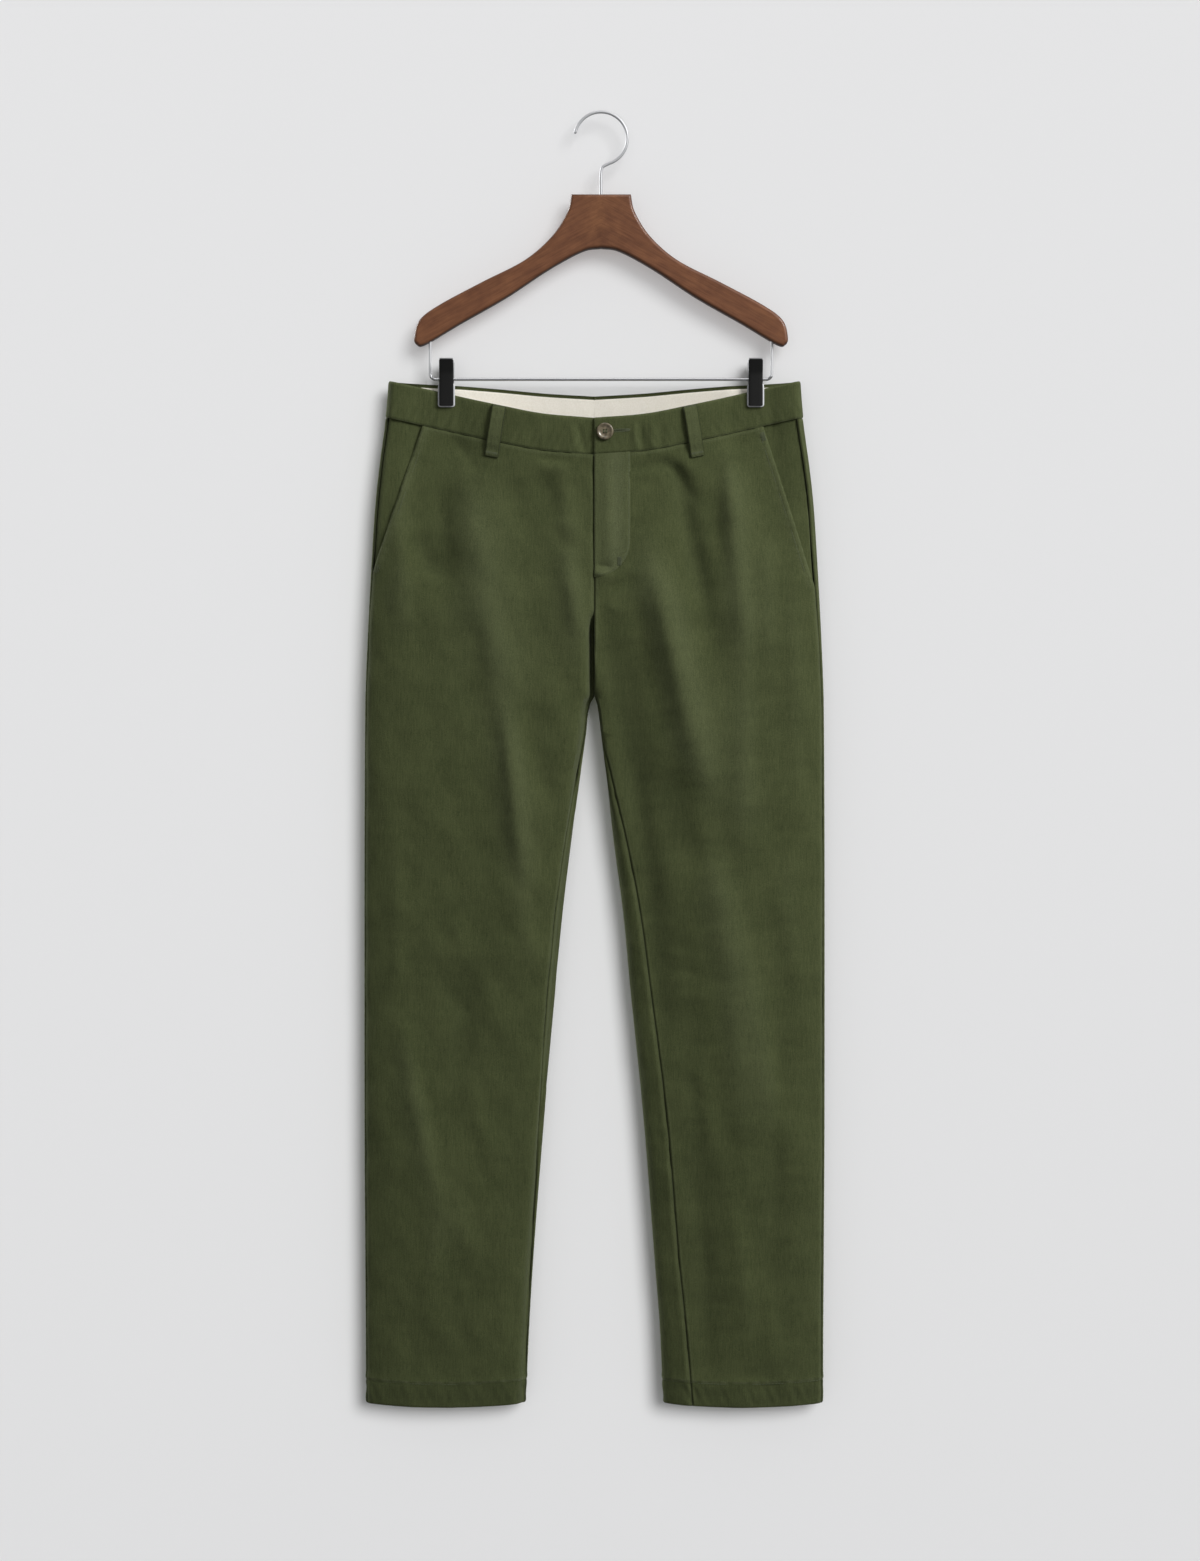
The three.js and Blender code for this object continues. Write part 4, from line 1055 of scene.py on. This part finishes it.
for side, leg in LEGS.items():
    rows = (PANEL_ROWS, leg_drop, 46)
    turn, drop, seam_out, seam_in = laid(leg, side_turn, back_end, *rows, OUTER_GAP, INNER_GAP)
    points, normals = spots(leg, turn, drop)
    seams = (seam_in, seam_out)
    out, wear = leg_relief(leg, BACK_FOLDS, turn, drop, points, normals, seams, 8 + leg["sign"])
    out += 0.3 * bell(seam_in, 4.5, 3) * ease(CROTCH_DROP, CROTCH_DROP + 60, drop)
    normals = butted(normals, drop, seam_in)
    # Down the centre back seam above the crotch the cloth is painted dark: painted shade in the seam.
    wear -= 0.8 * np.exp(-seam_in / 1.2) * (1 - ease(CROTCH_DROP - 16, CROTCH_DROP, drop))
    thick = leg_cloth(drop, turn)
    back = cloth_object(f"leg_back_{side}", points, normals, out, thick, wear, twill_material)
    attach(back, "root")
    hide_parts(f"back_{side}")

# The pocket facings: self cloth behind each slant pocket's mouth.
# Each is caught in the side seam and the waistband.
FACING_TUCK = 9
FACING_CLOTH = 1
FACING_IN = CLOTH + 0.9
FACING_BELOW = 24
FACING_ROWS = np.linspace(0, 1, 60)


def facing_start(leg, drop):
    return mouth_turn(leg, drop, FACING_TUCK)


def facing_drop(leg, row, turn, drop):
    seam = waist_seam(leg, turn, drop)
    return seam + (leg["end"] + FACING_BELOW - seam) * row


for side, leg in LEGS.items():
    rows = (FACING_ROWS, facing_drop, 16)
    turn, drop, seam_in, seam_out = laid(leg, facing_start, side_turn, *rows, NO_GAP, OUTER_GAP)
    points, normals = spots(leg, turn, drop)
    out = tuck(seam_out) + 0.3 * uneven(drop, 34, leg["sign"]) * bell(seam_out, 16, 12) - FACING_IN
    wear = 0.4 * np.exp(-seam_out / 1.2)
    facing = cloth_object(f"pocket_{side}", points, normals, out, FACING_CLOTH, wear, twill_material)
    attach(facing, "root")
    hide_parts(f"pocket_facing_{side}")

# The fly front: the left front's folded edge, laid over the zip.
# The J-stitched line at its side closes it.
FLY_WIDTH = 37
FLY_DROP = 202
FLY_TIP = 4
FLY_NEAR_TOP = 80
FLY_CLOTH = 1
FLY_OUT = 1.8


def fly_width(drop):
    """The fly's width, which rounds off as a J at its foot."""
    t = np.clip((drop - FLY_DROP + FLY_WIDTH) / FLY_WIDTH, 0, 1)
    return np.maximum(FLY_WIDTH * np.sqrt(1 - t * t), FLY_TIP)


def fly_side(leg, drop):
    return front_turn(leg, drop, fly_width(drop))


def fly_drop(leg, row, turn, drop):
    seam = waist_seam(leg, turn, drop)
    return seam + (FLY_DROP - seam) * row


near_foot = 1 - 0.2 * np.linspace(1, 0, 26)[1:] ** 1.5
fly_rows = np.concatenate([[0, 0.004, 0.01], np.linspace(0.02, 0.8, 34), near_foot])
turn, drop, seam_in, seam_out = laid(LEFT, 0, fly_side, fly_rows, fly_drop, 12)
points, normals = spots(LEFT, turn, drop)
foot = FLY_DROP - drop
out = FLY_OUT + tuck(seam_in, 0.5, 1.4) - 0.85 * (1 - ease(0, 3.4, np.minimum(seam_out, foot)))
out += 0.18 * uneven(drop, 15, 2) * bell(seam_out, 4, 5)
# The fly's face is painted paler, most in a band down its middle: a painted highlight. Its centre edge and
# its J edge are paler still.
wear = 0.3 + 0.4 * bell(seam_in, 22, 9) + 0.2 * np.exp(-seam_in / 1.5) + 0.12 * bell(seam_out, 1.5, 1.2)
thick = out - (FLY_OUT - FLY_CLOTH) + 0.02
fly = cloth_object("fly_front", points, normals, out, thick, wear, twill_material)
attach(fly, "root")
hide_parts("fly")

# The waistband: a folded strip of twill in two halves, seamed at the centre back.
# The right half runs on as an underlap behind the left one.
BAND_PROUD = 0.5
BAND_CLOTH = 2.4
UNDERLAP = 36
LAP_START = 2.5
BUTTONHOLE = (13, 35)
STEP_IN = 2.8
BUTTON_DOWN = 15
TOP_ROWS = (0, 0.3, 0.8, 1.5, 2.5, 4, 6, 8, 10, 12, 14, 14.7, 15, 15.3, 16)
BAND_ROWS = np.array((*TOP_ROWS, *np.linspace(18, 32, 7), 34, 35.2, 36.2, 36.9, 37.3, 37.5))


def band_drop(leg, row, turn, drop):
    return band_top(leg, turn, drop) + row


for side, leg in LEGS.items():
    turn, drop, from_back, from_front = laid(leg, 2, 0, BAND_ROWS, band_drop, 240)
    points, normals = spots(leg, turn, drop)
    down = np.broadcast_to(BAND_ROWS[:, None], drop.shape)
    if side == "right":
        lateral = np.linspace(LAP_START, UNDERLAP, 16)[None, :] + 0 * BAND_ROWS[:, None]
        lap_down = np.broadcast_to(BAND_ROWS[:, None], lateral.shape)
        lap_drop = BAND_DEPTH + lap_down
        for settling in range(SETTLINGS):
            lap_drop = band_top(LEFT, front_turn(LEFT, lap_drop, lateral), lap_drop) + lap_down
        lap = spots(LEFT, front_turn(LEFT, lap_drop, lateral), lap_drop)
        points, normals = (np.concatenate(pair, 1) for pair in zip((points, normals), lap))
        down = np.concatenate([down, lap_down], 1)
        from_front = np.concatenate([from_front + UNDERLAP, UNDERLAP - lateral], 1)
        from_back = np.concatenate([from_back, from_back[:, -1:] + lateral], 1)
    out = BAND_PROUD + tuck(down, 0.8, 2) + tuck(BAND_DEPTH - down, 0.7, 1.8)
    if side == "right":
        under = 1 - ease(3, 30, CENTRE_X - points[..., 0])
        out -= STEP_IN * np.where(normals[..., 1] < 0, under, 0)
    out += tuck(from_back) + tuck(from_front, 0.5, 1.4)
    out += 0.3 * uneven(from_back, 15, 4 + leg["sign"]) * bell(down, BAND_DEPTH, 7)
    out += 0.18 * uneven(from_back, 22, 9 + leg["sign"]) * bell(down, 0, 9)
    wear = 0.55 * np.exp(-down / 1.3) + 0.3 * np.exp(down - BAND_DEPTH) + 0.4 * np.exp(-from_front / 1.3)
    wear += 0.16 * uneven(from_back + 0.3 * down, 8, 2) * bell(down, 27, 11)
    # The buttonhole's slit is a painted dark line: painted shade in place of an opening.
    if side == "left":
        near, far = BUTTONHOLE
        painted_slit_shade = ease(near, near + 1, from_front) - ease(far - 1, far, from_front)
        wear -= 1.2 * bell(down, BUTTON_DOWN, 0.7) * painted_slit_shade
    band = cloth_object(f"band_{side}", points, normals, out, BAND_CLOTH, wear, twill_material)
    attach(band, "root")
    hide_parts(f"waistband_{side}")

# The waistband lining: a strip of cream cotton sewn inside each half.
# It shows at the back of the open waist.
LINING_CLOTH = 0.8
LINING_IN = 2.2
LINING_END = 72
LINING_ROWS = np.array((3.5, 3.8, 4.3, 5, *np.linspace(6.5, 33, 12), 34.2, 35, 35.5))

calico = Finish("cream_lining")
x, y, z = calico.parts(calico.place())
weft = calico.maths("SINE", x * 9000 + y * 9000) + calico.maths("SINE", z * 9000)
thread_tone = calico.noise(700, 3)
calico_material = calico.skin({
    "Base Color": calico.blend(thread_tone, tint(226, 219, 203), tint(247, 243, 233)),
    "Roughness": thread_tone * 0.1 + 0.85,
    "Normal": calico.bump(weft * 0.3 + calico.noise(160, 2), 0.0003, 0.6),
})


def lining_end(leg, drop):
    return front_turn(leg, drop, LINING_END)


for side, leg in LEGS.items():
    turn, drop, from_back, from_front = laid(leg, 2, lining_end, LINING_ROWS, band_drop, 110)
    points, normals = spots(leg, turn, drop)
    down = LINING_ROWS[:, None] - LINING_ROWS[0]
    out = -LINING_IN + tuck(down, -0.3, 1.2) + 0 * drop
    out -= 0.12 * (1 + uneven(from_back, 18, leg["sign"])) * bell(down, 16, 12)
    lining = cloth_object(f"lining_{side}", points, normals, out, LINING_CLOTH, 0 * drop, calico_material)
    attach(lining, "root")
    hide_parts(f"waistband_lining_{side}")

# The belt loops: five narrow folded strips of twill.
# Each is tacked at the waistband's top edge and just below its seam.
LOOP_WIDTH = 14
LOOP_LONG = 54
LOOP_CLOTH = 2
LOOP_TILT = (97.5, 106)
LOOP_BACK = (112, 112)
LOOP = table("down off", [(0.5, 0.9), (5, 2.3), (22, 3.1), (40, 2.3), (49, 0.6), (54, 0.6)])
LOOP_ROWS = np.concatenate([[0.5, 0.8, 1.4, 2.4], np.linspace(4, 51, 30), [52.6, 53.5, 54]])
LOOP_SIDES = np.array((-1, -0.95, -0.86, -0.72, -0.5, -0.25, 0, 0.25, 0.5, 0.72, 0.86, 0.95, 1)) / 2


def on_waist(lateral, face, down):
    """Spots on the waist, so far to the left of the centre and so far below the top edge."""
    both = []
    for leg in (RIGHT, LEFT):
        drop = BAND_DEPTH + down + 0 * lateral
        for settling in range(SETTLINGS):
            turn = front_turn(leg, drop, np.abs(lateral))
            turn = turn if face == "front" else 2 - turn
            drop = band_top(leg, turn, drop) + down
        both.append(spots(leg, turn, drop))
    left = (lateral > 0)[..., None]
    return [np.where(left, b, a) for a, b in zip(*both)]


places = [("front_right", -1, "front", LOOP_TILT), ("front_left", 1, "front", LOOP_TILT)]
places += [("back_right", -1, "back", LOOP_BACK), ("back_left", 1, "back", LOOP_BACK)]
places += [("centre_back", 1, "back", (0, 0))]
for name, sign, face, (top, bottom) in places:
    down = LOOP_ROWS[:, None]
    middle = top + (bottom - top) * down / LOOP_LONG
    lateral = sign * middle + LOOP_SIDES[None, :] * LOOP_WIDTH
    points, normals = on_waist(lateral, face, down)
    side = np.abs(LOOP_SIDES)[None, :] * 2
    low = follow(LOOP, "down", "off", down) + 0 * side
    out = low + LOOP_CLOTH - 0.75 * ease(0.82, 1, side) - 0.3 * bell(side, 0.56, 0.13)
    out += tuck(down - 0.5, 0.6, 1.4) + tuck(LOOP_LONG - down, 0.7, 1.6) + 0.12 * uneven(down, 9, top)
    # Each loop is painted paler across its middle and darker at its side edges: painted highlight and
    # painted shade.
    wear = 0.35 - 1.3 * ease(0.78, 1, side) + 0.3 * np.exp((down - LOOP_LONG) / 1.2) + 0 * out
    loop = cloth_object(f"loop_{name}", points, normals, out, out - low, wear, twill_material)
    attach(loop, "root")
    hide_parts(f"belt_loop_{name}")

# The button: mottled brown horn, dished, with four holes.
# It is sewn to the underlap and comes through the left half's buttonhole.
HOLE_RADIUS = 1
HOLE_SPREAD = 1.9
BUTTON_LATERAL = 10.8
BUTTON_BACK = ((0, 0), (6.6, 0), (7.6, 0.25), (8.4, 0.8), (8.75, 1.5), (8.72, 2.1), (8.4, 2.75), (7.9, 3.1))
BUTTON_FACE = ((7.3, 3.2), (6.6, 3.1), (6, 2.7), (5.4, 2.35), (4.2, 2.1), (2, 2), (0, 2))

horn = Finish("brown_horn")
marble = horn.noise(330, 3)
streak = horn.noise(1, 3, horn.stretched(160, 160, 520))
horn_material = horn.skin({
    "Base Color": horn.blend(marble * 1.6 + streak * 0.8 - 0.75, tint(56, 48, 34), tint(128, 117, 94)),
    "Roughness": streak * 0.2 + 0.24,
    "Coat Weight": 0.3,
})


def turned_disc(profile, sides=56):
    """Points and faces of a solid turned round the upright axis."""
    angle = np.linspace(0, 2 * np.pi, sides, endpoint=False)
    points, rings, faces = [], [], []
    for radius, height in profile:
        if radius == 0:
            rings.append([len(points)] * sides)
            points.append((0, 0, height))
        else:
            rings.append(list(range(len(points), len(points) + sides)))
            points += [(radius * math.cos(a), radius * math.sin(a), height) for a in angle]
    for low, high in zip(rings, rings[1:]):
        for j in range(sides):
            k = (j + 1) % sides
            corners = (low[j], low[k], high[k], high[j])
            faces.append(tuple(dict.fromkeys(corners)))
    return points, faces


disc = mesh_object("disc", *turned_disc(BUTTON_BACK + BUTTON_FACE), horn_material)
for quarter in range(4):
    angle = (quarter + 0.5) * math.pi / 2
    drill_profile = ((0, -2), (HOLE_RADIUS, -2), (HOLE_RADIUS, 6), (0, 6))
    drill_points, drill_faces = turned_disc(drill_profile, 20)
    centre_of_hole = (HOLE_SPREAD * math.cos(angle), HOLE_SPREAD * math.sin(angle), 0)
    drill = mesh_object("drill", drill_points + np.array(centre_of_hole), drill_faces, horn_material)
    cut = disc.modifiers.new("hole", "BOOLEAN")
    cut.object = drill
drilled, button_faces = worked(disc)
for spare in [o for o in bpy.data.objects if o.name.split(".")[0] in ("disc", "drill")]:
    bpy.data.objects.remove(spare)
seat, out_of = (part[0] for part in on_waist(np.array([BUTTON_LATERAL]), "front", BUTTON_DOWN))
level = np.cross(out_of, (0, 0, 1))
level /= np.linalg.norm(level)
axes = np.stack([-level, np.cross(out_of, -level), out_of])
seat = seat + out_of * (BAND_PROUD + SEAM_GAP)
button = mesh_object("horn_button", drilled @ axes + seat, button_faces, horn_material)
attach(button, "root")
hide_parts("button")

# The sewing: tonal cotton thread in single stitches along the fly, the pocket mouths and the hems.
# Bar tacks hold the pockets, the fly and the belt loops, and close stitches bind the buttonhole.
STITCH_LONG = 2.7
STITCH_PITCH = 3.3
THREAD = 0.34
STITCH_IN = 1.8
STITCH_BELOW = 2
MOUTH_STITCH_IN = 6
MOUTH_TACK_IN = 3.2
FLY_TACK_IN = 26
FLY_TACK_UP = 20
TACK_WIDTH = 3
TACK_LONG = 8
LOOP_TACKS = (1.9, 50.4)
LOOP_TACK_HALF = 5.6
BINDING_MIDDLE = 24.5
BINDING_HALF = 11.5
BINDING_OPEN = 1.05

cotton = Finish("olive_thread")
twist = cotton.noise(2400, 2)
cotton_material = cotton.skin({
    "Base Color": cotton.blend(twist, tint(56, 62, 38), tint(84, 91, 63)),
    "Roughness": twist * 0.1 + 0.7,
    "Normal": cotton.bump(twist, 0.0001),
})


def sewn(lines, pitch, long, thread):
    """Points and faces of stitches along lines of spots. Each is a small capsule."""
    along = np.array((-1, -0.82, -0.4, 0.4, 0.82, 1)) / 2
    plump = np.array((0.25, 0.8, 1, 1, 0.8, 0.25))
    angle = np.linspace(0, 2 * np.pi, 6, endpoint=False)
    points, faces = [], []
    for path, normals in lines:
        run = np.concatenate([[0], np.cumsum(np.linalg.norm(np.diff(path, axis=0), axis=1))])
        at = np.arange(pitch / 2, run[-1], pitch)
        middle, ahead, up = (
            np.stack([np.interp(place, run, part[:, k]) for k in range(3)], 1)
            for place, part in ((at, path), (np.minimum(at + 0.6, run[-1]), path), (at, normals))
        )
        way = ahead - middle
        way /= np.linalg.norm(way, axis=1)[:, None]
        aside = np.cross(way, up)
        for m, w, a, u in zip(middle, way, aside, up):
            start = len(points) * 6
            for s, p in zip(along, plump):
                ring = np.outer(np.cos(angle), a) + np.outer(np.sin(angle), u) * 0.7
                points.append(m + w * s * long + ring * thread * p)
            for i in range(5):
                for j in range(6):
                    k = (j + 1) % 6
                    quad = (i * 6 + j, i * 6 + k, (i + 1) * 6 + k, (i + 1) * 6 + j)
                    faces.append([start + q for q in quad])
            faces.append([start + j for j in reversed(range(6))])
            faces.append([start + 30 + j for j in range(6)])
    return np.concatenate(points), faces


def thread_object(name, lines, pitch=STITCH_PITCH, long=STITCH_LONG, thread=THREAD):
    """One piece holding every stitch of its lines."""
    made = mesh_object(name, *sewn(lines, pitch, long, thread), cotton_material)
    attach(made, "root")
    return made


def line_on(leg, turn, drop, out):
    points, normals = spots(leg, turn, drop)
    return points + normals * out, normals


def bar_tack(path, normals, width):
    """Close stitches across a short line."""
    ahead = np.gradient(path, axis=0)
    ahead /= np.linalg.norm(ahead, axis=1)[:, None]
    aside = np.cross(ahead, normals) * width / 2
    return [(np.stack([p - a, p + a]), np.stack([n, n])) for p, a, n in zip(path, aside, normals)]


def stitch_start(leg, lateral, drop):
    """Where a line of stitches leaves the waistband."""
    return band_top(leg, front_turn(leg, drop, lateral), drop) + BAND_DEPTH + STITCH_BELOW


hem_lines = []
for leg in LEGS.values():
    turn = np.linspace(0.004, 1.996, 700)
    hem_lines.append(line_on(leg, turn, hem_edge(turn) - HEM_TURN, -0.25))
thread_object("hem_stitches", hem_lines)

mouth_lines, tacks = [], []
for leg in LEGS.values():
    begin = stitch_start(leg, leg["mouth"], BAND_DEPTH + 10)
    drop = np.linspace(begin, leg["end"] - 2, 200)
    mouth_lines.append(line_on(leg, mouth_turn(leg, drop, MOUTH_STITCH_IN), drop, 0.2))
    for low in (begin + 4, leg["end"] - 10):
        drop = np.linspace(low, low + TACK_LONG, 12)
        tacks += bar_tack(*line_on(leg, mouth_turn(leg, drop, MOUTH_TACK_IN), drop, 0.45), TACK_WIDTH)
thread_object("pocket_stitches", mouth_lines)

bend = np.linspace(0, np.pi / 2, 60)
fly_inset = FLY_WIDTH - STITCH_IN
straight = np.linspace(stitch_start(LEFT, fly_inset, FLY_NEAR_TOP), FLY_DROP - FLY_WIDTH, 120)
j_drop = np.concatenate([straight, FLY_DROP - FLY_WIDTH + fly_inset * np.sin(bend[1:-3])])
j_lateral = np.concatenate([np.full(120, fly_inset), fly_inset * np.cos(bend[1:-3])])
thread_object("fly_stitches", [line_on(LEFT, front_turn(LEFT, j_drop, j_lateral), j_drop, FLY_OUT - 0.35)])
drop = np.linspace(FLY_DROP - FLY_TACK_UP, FLY_DROP - FLY_TACK_UP + TACK_LONG, 12)
fly_tack = line_on(LEFT, front_turn(LEFT, drop, np.full(12, float(FLY_TACK_IN))), drop, FLY_OUT + 0.1)
tacks += bar_tack(*fly_tack, TACK_WIDTH)

for name, sign, face, (top, bottom) in places:
    for down in LOOP_TACKS:
        middle = top + (bottom - top) * down / LOOP_LONG
        lateral = sign * middle + np.linspace(-LOOP_TACK_HALF, LOOP_TACK_HALF, 16)
        points, normals = on_waist(lateral, face, down)
        lift = follow(LOOP, "down", "off", down) + LOOP_CLOTH - 0.1
        tacks += bar_tack(points + normals * lift, normals, 1.8)
thread_object("bar_tacks", tacks, pitch=1.8, long=2.6, thread=0.3)

hole_turn = np.linspace(0, 2 * np.pi, 90)
hole_lateral = BINDING_MIDDLE + BINDING_HALF * np.cos(hole_turn)
hole_down = BUTTON_DOWN + BINDING_OPEN * np.sin(hole_turn)
points, normals = on_waist(hole_lateral, "front", hole_down)
points = points + normals * (BAND_PROUD + 0.1)
binding = bar_tack(points, normals, 1.5)
thread_object("buttonhole", binding, pitch=1.5, long=1.9, thread=0.24)

cross = []
hole = HOLE_SPREAD * 0.707
for across in (-hole, hole):
    for shift in (-0.35, 0, 0.35):
        ends = np.array([(across + shift, -hole, 2.15), (across + shift, hole, 2.15)])
        cross.append((ends @ axes + seat, np.stack([out_of, out_of])))
thread_object("button_thread", cross, pitch=2.69, long=3.2, thread=0.26)
